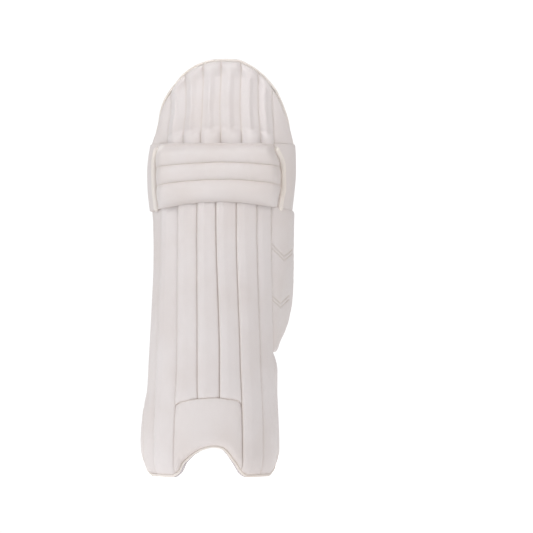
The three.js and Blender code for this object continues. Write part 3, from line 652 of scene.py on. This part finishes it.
def gingham(name, white, middle, dark, stripe):
    """Common two-way check on the bias: stripes both ways, darkest where they cross."""
    tree, shader, spots, _ = woven(name, 0.85, 0.0008, 0.0008, 0.0001)
    turned = node(tree, "ShaderNodeMapping", {"Vector": spots, "Rotation": (0, 0, math.radians(45))})
    apart = node(tree, "ShaderNodeSeparateXYZ", {0: turned.outputs[0]})
    bands = []
    for axis in (0, 1):
        wave = threads(tree, apart.outputs[axis], 2 * stripe)
        bands.append(remap(tree, wave, -0.09, 0.09))
    some = node(tree, "ShaderNodeMath", {0: bands[0], 1: bands[1]}, operation="MAXIMUM").outputs[0]
    both = product(tree, *bands)
    hatch = remap(tree, threads(tree, apart.outputs[0], 0.0022), -0.4, 0.4, 0.72, 1.0)
    tone = blend(tree, both, blend(tree, product(tree, some, hatch), white, middle), dark)
    # Painted shade along the seams, partly a soiled tone.
    paint_seam_shade_and_soil(tree, shader, tone, (0.42, 0.38, 0.38), 0.5)


leather("cover", (0.645, 0.60, 0.592), (0.62, 0.566, 0.548), (0.59, 0.53, 0.485), 0.46)
leather("rib", (0.65, 0.608, 0.604), (0.62, 0.57, 0.558), (0.585, 0.52, 0.475), 0.44)
leather("trim", (0.73, 0.685, 0.65), (0.71, 0.65, 0.60), (0.58, 0.50, 0.43), 0.5, grain=0.0007)
tab_shader = leather("tab", (0.60, 0.60, 0.61), (0.55, 0.55, 0.56), (0.36, 0.36, 0.36), 0.34)
tab_shader.inputs["Metallic"].default_value = 0.25
cloth("lining", (0.74, 0.70, 0.74), (0.66, 0.62, 0.67))
gingham("check", (0.74, 0.72, 0.77), (0.65, 0.635, 0.70), (0.565, 0.555, 0.625), 0.0135)
cloth("strap", (0.70, 0.652, 0.635), (0.59, 0.54, 0.52), 0.8, across=0.0012, along=0.0024, depth=0.00025)
cloth("thread", (0.60, 0.545, 0.485), (0.50, 0.44, 0.38), 0.6)


# Shin: shell, bolsters, instep panel and side strips.
shell_swell = lambda s, t: np.ones(np.shape(s))
shin_shell = around(shin_section, fixed(-SHIN_REACH), fixed(SHIN_REACH), shin_low, shin_high)
Patch(shin_shell, 0, BACKING_WALL, BACKING_WALL, shell_swell).build(
    "shin_shell", "lining", ["shin_backing"], 120, 120, fill=0.3, crowd=(0, 0))


# The instep panel's upper corners are rounded, and the short ribs follow them.
PANEL_CORNER = math.radians(5)
PANEL_CORNER_DROP = 0.005
PANEL_LEFT = float(shin_seam(1, 0)(PANEL_TOP))
PANEL_RIGHT = float(shin_seam(4, 0)(PANEL_TOP))


def panel_high(turn):
    crest = PANEL_TOP - PANEL_CROWN * np.minimum(1, (turn / PANEL_CROWN_REACH) ** 2)
    inward = np.minimum(turn - PANEL_LEFT, PANEL_RIGHT - turn) / PANEL_CORNER
    return crest - PANEL_CORNER_DROP * (1 - np.clip(inward, 0, 1)) ** 2


def short_foot(turn):
    return panel_high(turn) - SEAM_LAP


# How high the seams between ribs and between rolls lie, as shares of their fullness.
RIB_VALLEY = 0.74
ROLL_VALLEY = 0.86

RIB_ROUNDING = 0.016
RIB_CREST = 0.39
RIB_SLOPE = 0.25
RIB_FLATNESS = 0.75


def rib_profile(s):
    """Flat up to a crest, then a long slope to the seam, as the filling lies."""
    crest = 1 - RIB_SLOPE * (1 - np.exp(-np.maximum(0, s - RIB_CREST) / 0.3))
    arc = mix(RIB_VALLEY, 1, pillow(s, 0.92))
    return mix(arc, crest * mix(RIB_VALLEY + 0.04, 1, closing(s, 0.12)), RIB_FLATNESS)


for i in range(6):
    short = 1 <= i <= 3
    foot = short_foot if short else above_base_piping
    length = SHIN_HEIGHT - (PANEL_TOP if short else 0)

    def rib_swell(s, t, near=RIB_ROUNDING / length, short=short):
        end = np.clip(t / (near if short else near * 2.4), 0, 1)
        low = (1 - (1 - end) ** 2) ** (0.5 if short else 0.7)
        return rib_profile(s) * mix(0.8 if short else 0.22, 1, low)

    rib = Patch(around(shin_section, shin_seam(i, 1), shin_seam(i + 1, -1), foot, shin_high),
                OUTER_FLOOR, 0.0015, SHIN_BOLSTER * SHIN_FULLNESS[i], rib_swell,
                together(filling(0.0006, 0.055, i), filling(0.00022, 0.014, i + 20),
                         gathers(0.0007, 0.007, 0.006, i + 40),
                         gathers(0.0012 if short else 0.0006, 0.006, 0.014, i + 60, ends=True)))
    rib.build(f"shin_rib_{i + 1}", "rib", [f"shin_bolster_{i + 1}"], 28, 150, fill=0.85)


def instep_swell(s, t):
    corner = np.maximum(0, np.abs(2 * s - 1) - 0.8) / 0.2
    near = np.where(t > 0.5, 0.12 + 0.10 * corner ** 2, 0.2)
    return mix(0.5, 1, crown(s, 3.2) ** 0.7) * mix(np.where(t > 0.5, 0.88, 0.24), 1, closing(t, near, 2.2))


instep = Patch(around(shin_section, shin_seam(1, 1), shin_seam(4, -1), above_base_piping, panel_high),
               OUTER_FLOOR, 0.002, INSTEP_PAD, instep_swell,
               together(sewn(0.0007, 0.05, 3, 0.0009, 0.008, 0.009),
                        gathers(0.0009, 0.009, 0.01, 5, ends=True)))
instep.build("instep_pad", "cover", ["instep_panel"], 70, 56, fill=0.5)

# A bound edge shows along the inner side of the foot lobe, as a groove whose line also gets painted shade
# in its colour, partly a seam tone.
LOBE_EDGE = (-0.1306, 0.016, 0.137)


def lobe_edge(patch, s, t, wide=0.0011):
    spots = patch.spot(s, t, patch.full)
    x, foot, top = LOBE_EDGE
    ends = smooth((spots[..., 2] - foot) / 0.01) * smooth((top - spots[..., 2]) / 0.02)
    return np.exp(-(((spots[..., 0] - x) / wide) ** 2)) * ends * (spots[..., 1] < 0.01)


def strip_swell(s, t):
    return crown(s, 2.4) ** 0.7 * mix(np.where(t > 0.5, 0.7, 0), 1, closing(t, 0.03))


inner_strip = Patch(around(shin_section, fixed(-SHIN_REACH), shin_seam(0, -1),
                           above_base_piping, shin_high),
                    OUTER_FLOOR, 0.0015, SIDE_PAD, strip_swell,
                    together(sewn(0.0008, 0.06, 7),
                             lambda patch, s, t: -0.0011 * lobe_edge(patch, s, t)),
                    lambda patch, s, t: 0.6 * lobe_edge(patch, s, t, 0.0008))
inner_strip.build("side_strip_inner", "cover", ["shin_side_inner"], 90, 150, fill=0.5)
outer_strip = Patch(around(shin_section, shin_seam(6, 1), fixed(SHIN_REACH), above_base_piping,
                           fixed(WING_FOOT - SEAM_GAP)),
                    OUTER_FLOOR, 0.0015, SIDE_PAD,
                    lambda s, t: crown(s, 2.4) ** 0.7 * closing(t, 0.06) * smooth((1 - t) / 0.18) ** 0.5,
                    sewn(0.0008, 0.06, 9))
outer_strip.build("side_strip_outer", "cover", ["shin_side_outer"], 30, 76, fill=0.5)


# Outer wing: a padded flap that leaves the shell and stands out and back.
def through(points, s):
    """A centripetal curve through six points for each share."""
    count = points.shape[1]
    at = np.clip(s, 0, 1) * (count - 1)
    i = np.minimum(at.astype(int), count - 2)
    w = (at - i)[:, None]
    first = 2 * points[:, :1] - points[:, 1:2]
    last = 2 * points[:, -1:] - points[:, -2:-1]
    ends = np.concatenate([first, points, last], axis=1)
    rows = np.arange(len(s))
    a, b, c, d = (ends[rows, i + k] for k in range(4))
    before, here, after = (np.sqrt(np.linalg.norm(q - p, axis=1))[:, None]
                           for p, q in ((a, b), (b, c), (c, d)))
    leave = here * ((b - a) / before - (c - a) / (before + here) + (c - b) / here)
    arrive = here * ((c - b) / here - (d - b) / (here + after) + (d - c) / after)
    cubic = 2 * b - 2 * c + leave + arrive
    square = 3 * c - 3 * b - 2 * leave - arrive
    return b + leave * w + square * w ** 2 + cubic * w ** 3


wing_root = shin_seam(6, 1)
WING_TURN = float(wing_root(WING_TOP))


def wing_spot(s, t, lift):
    top = roll_edge(0)(mix(WING_TURN, WING_LEAVE, np.minimum(1, s * 1.25))) - SEAM_GAP / 2

    def middle(share):
        z = mix(WING_FOOT, top, t)
        start = wing_root(z) + math.radians(0.5)
        root_lift = OUTER_FLOOR + WING_GAP + WING_WALL / 2
        rows = [place(shin_section, mix(start, WING_LEAVE, k / 4), z, root_lift) for k in range(5)]
        side = rows[-1]
        spread = mix(side[:, 0], WING_SPREAD - WING_WALL / 5, wing_out(t))
        back = mix(side[:, 1] + WING_ROOT_BACK, WING_BACK, wing_back(t))
        tip = np.stack([np.maximum(side[:, 0], spread), back, z], axis=-1)
        return through(np.stack([*rows, tip], axis=1), share)

    along = middle(np.minimum(1, s + 0.02)) - middle(np.maximum(0, s - 0.02))
    along /= np.linalg.norm(along, axis=1)[:, None]
    out = np.stack([along[:, 1], -along[:, 0], 0 * s], axis=-1)
    return middle(s) + out * np.asarray(lift)[..., None] if np.ndim(lift) else middle(s) + out * lift


def wing_swell(s, t):
    return np.minimum(np.where(s > 0.5, crown(s, 8), crown(s, 2.4)), closing(t, 0.05))


# Two double chevrons, stitched with their points below the middle of the wing's front.
CHEVRON_POINT = 0.1095
CHEVRON_REACH = 0.019
CHEVRON_CLIMB = 3.7
CHEVRONS = (0.669, 0.642, 0.342, 0.315)


def chevron_rise(s, t):
    return CHEVRON_CLIMB * np.abs(wing_spot(s, t, 0.0)[..., 0] - CHEVRON_POINT + 0.006 * (t < 0.5))


def chevron_lines(patch, s, t, wide):
    """How near each point is to a chevron's stitching, from 0 to 1."""
    rise = chevron_rise(s, t)
    reach = smooth((CHEVRON_REACH * CHEVRON_CLIMB - rise) / 0.006) * smooth((0.95 - s) / 0.04)
    near = [np.exp(-(((t - at - rise) * patch.length / wide) ** 2)) for at in CHEVRONS]
    return np.maximum.reduce(near) * reach


def wing_relief(patch, s, t):
    return sewn(0.0007, 0.05, 12)(patch, s, t) - 0.0015 * chevron_lines(patch, s, t, 0.0021)


# Painted shade: the chevron grooves are darkened in colour as well as cut into the wing, partly a
# stitch-line tone.
def wing_marks(patch, s, t):
    return 0.6 * chevron_lines(patch, s, t, 0.0014)


wing = Patch(wing_spot, -WING_WALL / 2, WING_WALL * 0.5, WING_WALL, wing_swell, wing_relief, wing_marks)
wing.build("wing", "cover", ["outer_wing"], 90, 170, fill=0.45, crowd=(0.4, 0.3))
wing_lines = []
for at in CHEVRONS:
    shares = np.linspace(0.01, 0.93, 200)
    heights = at + chevron_rise(shares, np.full(200, at))
    shares, heights = (line[heights - at < CHEVRON_REACH * CHEVRON_CLIMB] for line in (shares, heights))
    wing_lines.append(wing.face(shares, heights, 0.0002))
stitches("wing_chevrons", wing_lines, pitch=0.0036, long=0.0027)


# Knee: shell, three rolls and the two ears beside them.
knee_shell = around(upper_section, fixed(-KNEE_REACH), fixed(KNEE_REACH),
                    roll_edge(0), fixed(KNEE_TOP - SEAM_GAP))
Patch(knee_shell, 0, BACKING_WALL, BACKING_WALL, shell_swell).build(
    "knee_shell", "lining", ["knee_backing"], 120, 30, fill=0.3, crowd=(0, 0))


def roll_end(share, step=0.0):
    return line_at(upper_section, SHIN_HEIGHT - 0.03, KNEE_TOP + 0.01,
                   lambda z: KNEE_HALF_WIDTH * share((z - SHIN_HEIGHT) / KNEE_HEIGHT) + step)


roll_left, roll_right = roll_end(ROLL_LEFT), roll_end(ROLL_RIGHT)


def roll_ease(s):
    """How far a roll has swelled from its ends."""
    return smooth(np.minimum(1, np.minimum(s, 1 - s) / ROLL_EASE)) ** 0.75


def roll_swell(low_valley, high_valley):
    def swell(s, t):
        profile = mix(np.where(t < 0.5, low_valley, high_valley), 1, np.where(
            t < 0.5, crown(t, 2.2) if low_valley < 0.2 else pillow(t, 0.84), pillow(t, 0.84)))
        return mix(ROLL_END, profile, roll_ease(s))
    return swell


ROLL_VALLEYS = ((0.05, ROLL_VALLEY), (ROLL_VALLEY, ROLL_VALLEY), (ROLL_VALLEY, 0.5))


def hung(spot, drop, floor, height):
    """A roll whose lower half hangs over what lies below it."""
    def lower(s, t, lift):
        spots = spot(s, t, lift)
        spots[..., 2] -= drop * np.clip(2.5 * (lift - floor) / height, 0, 1) * smooth(1 - 2 * t)
        return spots
    return lower


for i, name in enumerate(("lower", "middle", "upper")):
    low_edge, high_edge = roll_edge(i), roll_edge(i + 1)
    spot = around(upper_section, roll_left, roll_right,
                  lambda turn, e=low_edge: e(turn) - SEAM_LAP,
                  lambda turn, e=high_edge: e(turn) + SEAM_LAP)
    roll = Patch(hung(spot, ROLL_HANG, OUTER_FLOOR, KNEE_ROLL) if i == 0 else spot,
                 OUTER_FLOOR, 0.002, KNEE_ROLL, roll_swell(*ROLL_VALLEYS[i]),
                 together(filling(0.0011, 0.05, 30 + i), gathers(0.0009, 0.008, 0.008, 33 + i, ends=True),
                          gathers(0.0012, 0.007, 0.02, 36 + i)))
    roll.build(f"knee_roll_{name}_pad", "cover", [f"knee_roll_{name}"], 150, 34,
               fill=0.85, crowd=(0.5, 0.7))

# The ears lap over the pieces above and below them.
EAR_LAP = 0.004
ear_swell = lambda s, t: crown(s, 3.5) ** 0.6 * crown(t, 7) ** 0.5
for name, start, end in (("inner", fixed(-KNEE_REACH), roll_left),
                         ("outer", roll_right, fixed(KNEE_REACH))):
    ear = Patch(around(upper_section, start, end,
                       lambda turn: roll_edge(0)(turn) - EAR_LAP, fixed(KNEE_TOP + EAR_LAP)),
                OUTER_FLOOR, 0.0015, SIDE_PAD, ear_swell,
                sewn(0.0007, 0.04, 50))
    ear.build(f"ear_{name}", "cover", [f"knee_ear_{name}"], 40, 46, fill=0.5)


# Padded welts that close the ends of the rolls.
welt_shares = np.linspace(0, 1, 90)
welt_heights = mix(SHIN_HEIGHT - 0.019, KNEE_TOP - 0.004, welt_shares)
welt_lifts = OUTER_FLOOR + SIDE_PAD * 0.9 - 0.004 * (1 - closing(welt_shares, 0.14))
for name, line in (("inner", roll_end(ROLL_LEFT, -WELT_STEP)),
                   ("outer", roll_end(ROLL_RIGHT, WELT_STEP))):
    tube(f"ear_welt_{name}", "trim",
         place(upper_section, line(welt_heights), welt_heights, welt_lifts), 0.0052, sides=16)


# A slim welt closes the seam between the upper roll and the top hat.
shares = np.linspace(0.02, 0.98, 160)
turns = mix(roll_left(KNEE_TOP), roll_right(KNEE_TOP), shares)
lifts = OUTER_FLOOR + KNEE_ROLL * mix(ROLL_END, 0.42, roll_ease(shares))
tube("knee_top_welt", "cover", place(upper_section, turns, np.full(160, KNEE_TOP), lifts), 0.0024)


# Top hat: shell, bolsters, side strip, wing, lining and piping.
top_hat_shell = around(upper_section, fixed(-TOP_HAT_WRAP), fixed(TOP_HAT_WRAP), fixed(KNEE_TOP),
                       below_dome(BACKING_WALL, PIPING_RADIUS / 2))
Patch(top_hat_shell, 0, BACKING_WALL, BACKING_WALL, shell_swell).build(
    "top_hat_shell", "lining", ["top_hat_backing"], 110, 60, fill=0.3, crowd=(0, 0))

under_dome = below_dome(OUTER_FLOOR + SEAM_DEPTH, 2 * PIPING_RADIUS - PIPING_LAP)
for i in range(6):
    low_cut, high_cut = top_hat_seam(i, 1), top_hat_seam(i + 1, -1)

    def hat_swell(s, t):
        rise = t * TOP_HAT_HEIGHT
        flare = np.maximum(smooth((0.032 - rise) / 0.012), smooth((t - 0.8) / 0.12))
        ridge = 0.72 * np.exp(-(((s - 0.41) / 0.18) ** 2)) + 0.28 * pillow(s, 0.9)
        across = mix(mix(0.55, 1, ridge), mix(0.62, 1.06, pillow(s, 0.92)), flare)
        pinch = 1 - 0.13 * np.exp(-(((rise - 0.026) / 0.007) ** 2))
        ends = np.where(t < 0.5, mix(0.93, 1, closing(t, 0.05, 2.2)), mix(0.34, 1, closing(t, 0.1, 2.2)))
        return across * pinch * ends

    rib = Patch(around(upper_section, low_cut, high_cut, fixed(KNEE_TOP + SEAM_GAP / 4), under_dome),
                OUTER_FLOOR, 0.0015, TOP_HAT_BOLSTER * TOP_HAT_FULLNESS[i], hat_swell,
                together(filling(0.0006, 0.04, 70 + i), gathers(0.0006, 0.007, 0.006, 76 + i),
                         gathers(0.001, 0.006, 0.012, 82 + i, ends=True)))
    rib.build(f"top_hat_rib_{i + 1}", "rib", [f"top_hat_bolster_{i + 1}"], 24, 70, fill=0.85)

for name, node_name, start, end in (
        ("top_hat_strip", "top_hat_side", fixed(-TOP_HAT_WRAP), top_hat_seam(0, -1)),
        ("top_hat_flap", "top_hat_wing", top_hat_seam(6, 1), fixed(TOP_HAT_WRAP))):
    strip = Patch(around(upper_section, start, end, fixed(KNEE_TOP + SEAM_GAP / 4), under_dome),
                  OUTER_FLOOR, 0.0015, SIDE_PAD, cushion(2.6, 0.6),
                  sewn(0.0006, 0.04, 90))
    strip.build(name, "cover", [node_name], 30, 60, fill=0.5)

lift = OUTER_FLOOR + PIPING_RADIUS
dome_rim = below_dome(lift, PIPING_RADIUS)
turns = np.linspace(-TOP_HAT_WRAP, TOP_HAT_WRAP, 200)
tube("dome_piping", "trim", place(upper_section, turns, dome_rim(turns), lift),
     PIPING_RADIUS, ["top_hat_piping"])
turns = np.linspace(-SHIN_REACH, SHIN_REACH, 320)
rims = shin_low(turns) + PIPING_RADIUS * steepness(shin_section, shin_low, turns)
tube("foot_piping", "trim", place(shin_section, turns, rims, lift),
     PIPING_RADIUS, ["base_piping"])


# Linings inside the leg space.
def inside(x):
    return line_at(shin_section, -0.01, SHIN_HEIGHT + 0.01,
                   lambda z: np.full(np.shape(z), SHIN_AXIS + CENTRE_OFFSET + x), -CENTRE_LINING)


def lining_high(turn):
    return shin_high(turn) - LINING_MARGIN


centre = Patch(around(shin_section, inside(-CENTRE_HALF_WIDTH), inside(CENTRE_HALF_WIDTH),
                      fixed(CENTRE_FOOT), lining_high),
               INNER_FLOOR, 0.002, -CENTRE_LINING, lambda s, t: crown(s, 3) ** 0.6 * closing(t, 0.05),
               sewn(0.0005, 0.05, 100, 0.0005, 0.009, 0.006))
centre.build("shin_middle_lining", "lining", ["shin_lining_centre"], 26, 120, fill=0.5)
check_start = CENTRE_HALF_WIDTH - SEAM_LAP
for name, start, end in (("outer", check_start, check_start + CHECK_WIDTH),
                         ("inner", -check_start - CHECK_WIDTH, -check_start)):
    bolster = Patch(around(shin_section, inside(start), inside(end), fixed(LINING_FOOT), lining_high),
                    INNER_FLOOR, 0.002, -CHECK_LINING, lambda s, t: crown(s, 2.3) * closing(t, 0.09, 2.2),
                    together(sewn(0.0011, 0.05, 110, 0.0009, 0.009, 0.009),
                             gathers(0.0012, 0.008, 0.016, 112, ends=True)))
    bolster.build(f"check_bolster_{name}", "check", [f"shin_lining_{name}"], 34, 130, fill=0.8)

lining_edge = SHIN_REACH - math.radians(8)
for name, node_name, start, end in (
        ("instep_back", "instep_lining", shin_seam(1, 1), shin_seam(4, -1)),
        ("lobe_back_inner", "lobe_lining_inner", fixed(-lining_edge), shin_seam(1, -1)),
        ("lobe_back_outer", "lobe_lining_outer", shin_seam(4, 1), fixed(lining_edge))):
    foot = Patch(around(shin_section, start, end, lambda turn: shin_low(turn) + 0.0004, fixed(LOBE_TOP)),
                 INNER_FLOOR, 0.0015, -LOBE_LINING, cushion(2.8, 0.7), sewn(0.0007, 0.04, 120))
    foot.build(name, "cover", [node_name], 46, 40, fill=0.5)

hat_lining_high = below_dome(INNER_FLOOR, 1.5 * PIPING_RADIUS, CRADLE_TOP)
hat_lining = Patch(around(upper_section, fixed(-TOP_HAT_EDGE), fixed(TOP_HAT_EDGE),
                          fixed(CRADLE_TOP - SEAM_LAP), hat_lining_high),
                   INNER_FLOOR, 0.002, -TOP_HAT_LINING,
                   lambda s, t: np.minimum(1, 1.15 * cushion(2.6, 0.6)(s, t)),
                   sewn(0.0009, 0.06, 130, 0.0007, 0.009, 0.01))
hat_lining.build("top_hat_inner", "lining", ["top_hat_lining"], 110, 60, fill=0.5)

cradle_left = upright(upper_section, CRADLE_LEFT, -CRADLE_CENTRE)
cradle_right = upright(upper_section, CRADLE_RIGHT, -CRADLE_CENTRE)
cradle_lap = SEAM_LAP / KNEE_HALF_WIDTH
cradle_low = fixed(CRADLE_FOOT - SEAM_LAP)
flat = Patch(around(upper_section, cradle_left, cradle_right, cradle_low, fixed(CRADLE_TOP)),
             INNER_FLOOR, 0.002, -CRADLE_CENTRE, cushion(3, 0.5),
             sewn(0.0005, 0.04, 140, 0.0006, 0.009))
flat.build("cradle_middle", "lining", ["knee_cradle_centre"], 40, 44, fill=0.5)
for name, start, end in (("inner", fixed(-CRADLE_REACH), lambda z: cradle_left(z) + cradle_lap),
                         ("outer", lambda z: cradle_right(z) - cradle_lap, fixed(CRADLE_REACH))):
    side = Patch(around(upper_section, start, end, cradle_low, fixed(CRADLE_TOP)),
                 INNER_FLOOR, 0.002, -CRADLE_PAD, cushion(2.2, 0.9),
                 together(sewn(0.0014, 0.04, 150, 0.0012, 0.009, 0.012),
                          gathers(0.0014, 0.009, 0.012, 152, ends=True)))
    side.build(f"cradle_{name}", "lining", [f"knee_cradle_{name}"], 60, 56, fill=0.85)
band = Patch(around(upper_section, fixed(-CRADLE_REACH), fixed(CRADLE_REACH),
                    lambda turn: roll_edge(0)(turn) + SEAM_GAP, fixed(CRADLE_FOOT)),
             INNER_FLOOR, 0.002, -CRADLE_CENTRE, lambda s, t: crown(t, 2.4) ** 0.8 * crown(s, 4) ** 0.3,
             together(filling(0.0005, 0.04, 160), gathers(0.0005, 0.009, 0.008, 161, ends=True)))
band.build("cradle_band", "cover", ["knee_band"], 110, 24, fill=0.5)


# Straps across the back, each landing just behind the rims.
def rim(section, reach, z, sign):
    return place(section, sign * reach, z, OUTER_FLOOR + SIDE_SEAM)


def landing(section, reach, z, width, sign):
    heights = np.linspace(z - width / 2, z + width / 2, 9)
    spot = rim(section, reach, z, sign)
    return np.array([spot[0], rim(section, reach, heights, sign)[:, 1].max() + STRAP_GAP, z])


def ribbon(name, finish, node_name, ends, width, wall, lift, first, last,
           taper=None, columns=80, rows=14, edge=0.0012):
    """A flat band across the back between two ends, bowed behind them."""
    start, end = ends
    run = end[0] - start[0]

    def spot(s, t, off):
        share = mix(first, last, s)
        x = mix(start[0], end[0], share)
        inset = np.clip((x - start[0] - STRAP_LANDING) / (run - 2 * STRAP_LANDING), 0, 1)
        y = mix(start[1], end[1], inset) + STRAP_BOW * np.sin(math.pi * inset)
        narrow = taper(s) if taper else 1
        z = mix(start[2], end[2], share) + (t - 0.5) * width * narrow
        return np.stack([x, y + lift + off, z], axis=-1)

    def swell(s, t):
        near = np.minimum(t, 1 - t) * width
        return 0.35 + 0.65 * closing(np.minimum(0.5, near / (4 * edge)), 0.25)

    patch = Patch(spot, 0, 0, wall, swell, filling(0.00018, 0.02, len(name)))
    patch.build(name, finish, [node_name], columns, rows, fill=None, crowd=(0.3, 0.5))
    return patch


OVER_STRAP = STRAP_WALL + TAB_GAP

knee_ends = [landing(upper_section, KNEE_REACH, KNEE_STRAP_HEIGHT - side * KNEE_STRAP_SLANT / 2,
                     KNEE_STRAP_WIDTH, side) for side in (-1, 1)]
knee_span = knee_ends[1][0] - knee_ends[0][0]
knee_patch = ribbon("knee_band_strap", "strap", "knee_strap", knee_ends,
                    KNEE_STRAP_WIDTH, STRAP_WALL, 0, 0, 1)
ribbon("knee_tab", "tab", "knee_strap_badge", knee_ends,
       KNEE_STRAP_WIDTH * 0.9, TAB_WALL, OVER_STRAP, 1 - KNEE_BADGE_LENGTH / knee_span, 1,
       taper=lambda s: 1 - 0.85 * np.maximum(0, s - 0.5) * 2, columns=24)


def tab_taper(s):
    """The calf tab's free end is rounded."""
    return np.minimum(1, 0.55 + 0.45 * np.sqrt(1 - (1 - np.clip(s / 0.16, 0, 1)) ** 2))


# The calf strap ends on the back of the wing.
calf_ends = [landing(shin_section, SHIN_REACH, CALF_STRAP_HEIGHT, CALF_STRAP_WIDTH, -1),
             np.array([WING_SPREAD - STRAP_LANDING / 2, WING_BACK + WING_WALL * 0.55 + STRAP_GAP,
                       CALF_STRAP_HEIGHT])]
calf_span = calf_ends[1][0] - calf_ends[0][0]
calf_patch = ribbon("calf_band", "strap", "calf_strap", calf_ends,
                    CALF_STRAP_WIDTH, STRAP_WALL, 0, 0, 0.985, rows=24)
CALF_TAB_END = 0.975
tab_patch = ribbon("calf_tab", "tab", "calf_strap_tab", calf_ends,
                   CALF_TAB_WIDTH, TAB_WALL, OVER_STRAP,
                   CALF_TAB_END - CALF_TAB_LENGTH / calf_span, CALF_TAB_END,
                   taper=tab_taper, columns=60, rows=20)

ankle_ends = [landing(shin_section, SHIN_REACH, ANKLE_STRAP_HEIGHT, ANKLE_STRAP_WIDTH, side)
              for side in (-1, 1)]
ankle_span = ankle_ends[1][0] - ankle_ends[0][0]
fold = (ANKLE_FOLD - ankle_ends[0][0]) / ankle_span
under_patch = ribbon("ankle_band_under", "strap", "ankle_strap_base", ankle_ends,
                     ANKLE_STRAP_WIDTH, STRAP_WALL, 0, fold - ANKLE_OVERLAP / ankle_span, 1, rows=24)
ankle_patch = ribbon("ankle_band", "strap", "ankle_strap", ankle_ends,
                     ANKLE_STRAP_WIDTH, STRAP_WALL, OVER_STRAP, 0, fold, rows=24)
badge = fold + ANKLE_BADGE_GAP / ankle_span
ribbon("ankle_tab", "tab", "ankle_strap_badge", ankle_ends,
       ANKLE_BADGE_WIDTH, TAB_WALL, OVER_STRAP, badge, badge + ANKLE_BADGE_LENGTH / ankle_span,
       taper=lambda s: 1 - 0.8 * np.maximum(0, s - 0.3) / 0.7, columns=30)


def hems(patch, inset, ends):
    """Stitching along both edges of a strap, and across it at some shares of its length."""
    along = np.linspace(0.01, 0.99, 240)
    across = np.linspace(inset, 1 - inset, 60)
    lines = [patch.face(along, np.full(240, t), 0.0001) for t in (inset, 1 - inset)]
    return lines + [patch.face(np.full(60, s), across, 0.0001) for s in ends]


stitches("strap_stitching", hems(knee_patch, 0.12, (0.02, 0.07)) + hems(calf_patch, 0.05, (0.015, 0.05))
         + hems(under_patch, 0.055, (0.97, 0.92)) + hems(ankle_patch, 0.055, (0.02, 0.06, 0.985))
         + hems(tab_patch, 0.06, (0.04, 0.97)), pitch=0.0044, long=0.0029, thick=0.0004)


# Stage: a white floor in white surroundings, soft light from the front left, the camera.
def build_stage():
    bm = bmesh.new()
    bmesh.ops.create_grid(bm, x_segments=1, y_segments=1, size=0.8)
    floor = finish_mesh("studio_floor", bm)
    tree, shader = new_material("studio_floor", 0.9)
    shader.inputs["Base Color"].default_value = (0.92, 0.92, 0.92, 1)
    shader.inputs["Emission Color"].default_value = (1, 1, 1, 1)
    shader.inputs["Emission Strength"].default_value = 0.43
    floor.data.materials.append(materials["studio_floor"])


def area_light(name, spot, target, size, power, colour, spread=180):
    light = bpy.data.lights.new(name, "AREA")
    light.shape = "RECTANGLE"
    light.size = size[0]
    light.size_y = size[1]
    light.energy = power
    light.color = colour
    light.spread = math.radians(spread)
    lamp = bpy.data.objects.new(name, light)
    lamp.location = spot
    lamp.rotation_euler = (Vector(target) - Vector(spot)).to_track_quat("-Z", "Y").to_euler()
    bpy.context.scene.collection.objects.link(lamp)


build_stage()
area_light("back", (-0.9, 3.1, 2.0), (0, 0, 0.35), (1.6, 1.6), 36, (1.0, 0.985, 0.98))
area_light("key", (-2.3, -2.3, 2.2), (0, 0, 0.35), (1.2, 1.6), 40, (0.95, 0.98, 1.0))
area_light("top", (0.5, -1.7, 1.6), (0.05, 0, 0.77), (0.6, 0.6), 0.52, (1.0, 0.97, 0.95), spread=30)
area_light("fill", (2.4, -2.6, 1.1), (0, 0, 0.35), (1.6, 1.6), 3, (1.0, 0.76, 0.68))
world = bpy.data.worlds.new("studio")
world.use_nodes = True
world.node_tree.nodes["Background"].inputs["Color"].default_value = (1, 1, 1, 1)
seen = node(world.node_tree, "ShaderNodeLightPath").outputs["Is Camera Ray"]
world.node_tree.links.new(remap(world.node_tree, seen, 0.0, 1.0, 0.725, 1.05),
                          world.node_tree.nodes["Background"].inputs["Strength"])
bpy.context.scene.world = world
bpy.context.scene.view_settings.view_transform = "Standard"

# The camera stands in front, at the height and side that the photograph was taken from.
PIXEL = 0.001731
VIEW_WIDTH = 533 * PIXEL
VIEW_DISTANCE = 7.0
camera_data = bpy.data.cameras.new("camera")
camera_data.sensor_width = 36
camera_data.lens = 36 * VIEW_DISTANCE / VIEW_WIDTH
camera_data.clip_end = 50
camera = bpy.data.objects.new("camera", camera_data)
camera.location = ((266.8 - 218.25) * PIXEL, -VIEW_DISTANCE - 0.01, (475.9 - 266.5) * PIXEL)
camera.rotation_euler = (math.pi / 2, 0, 0)
bpy.context.scene.collection.objects.link(camera)
bpy.context.scene.camera = camera
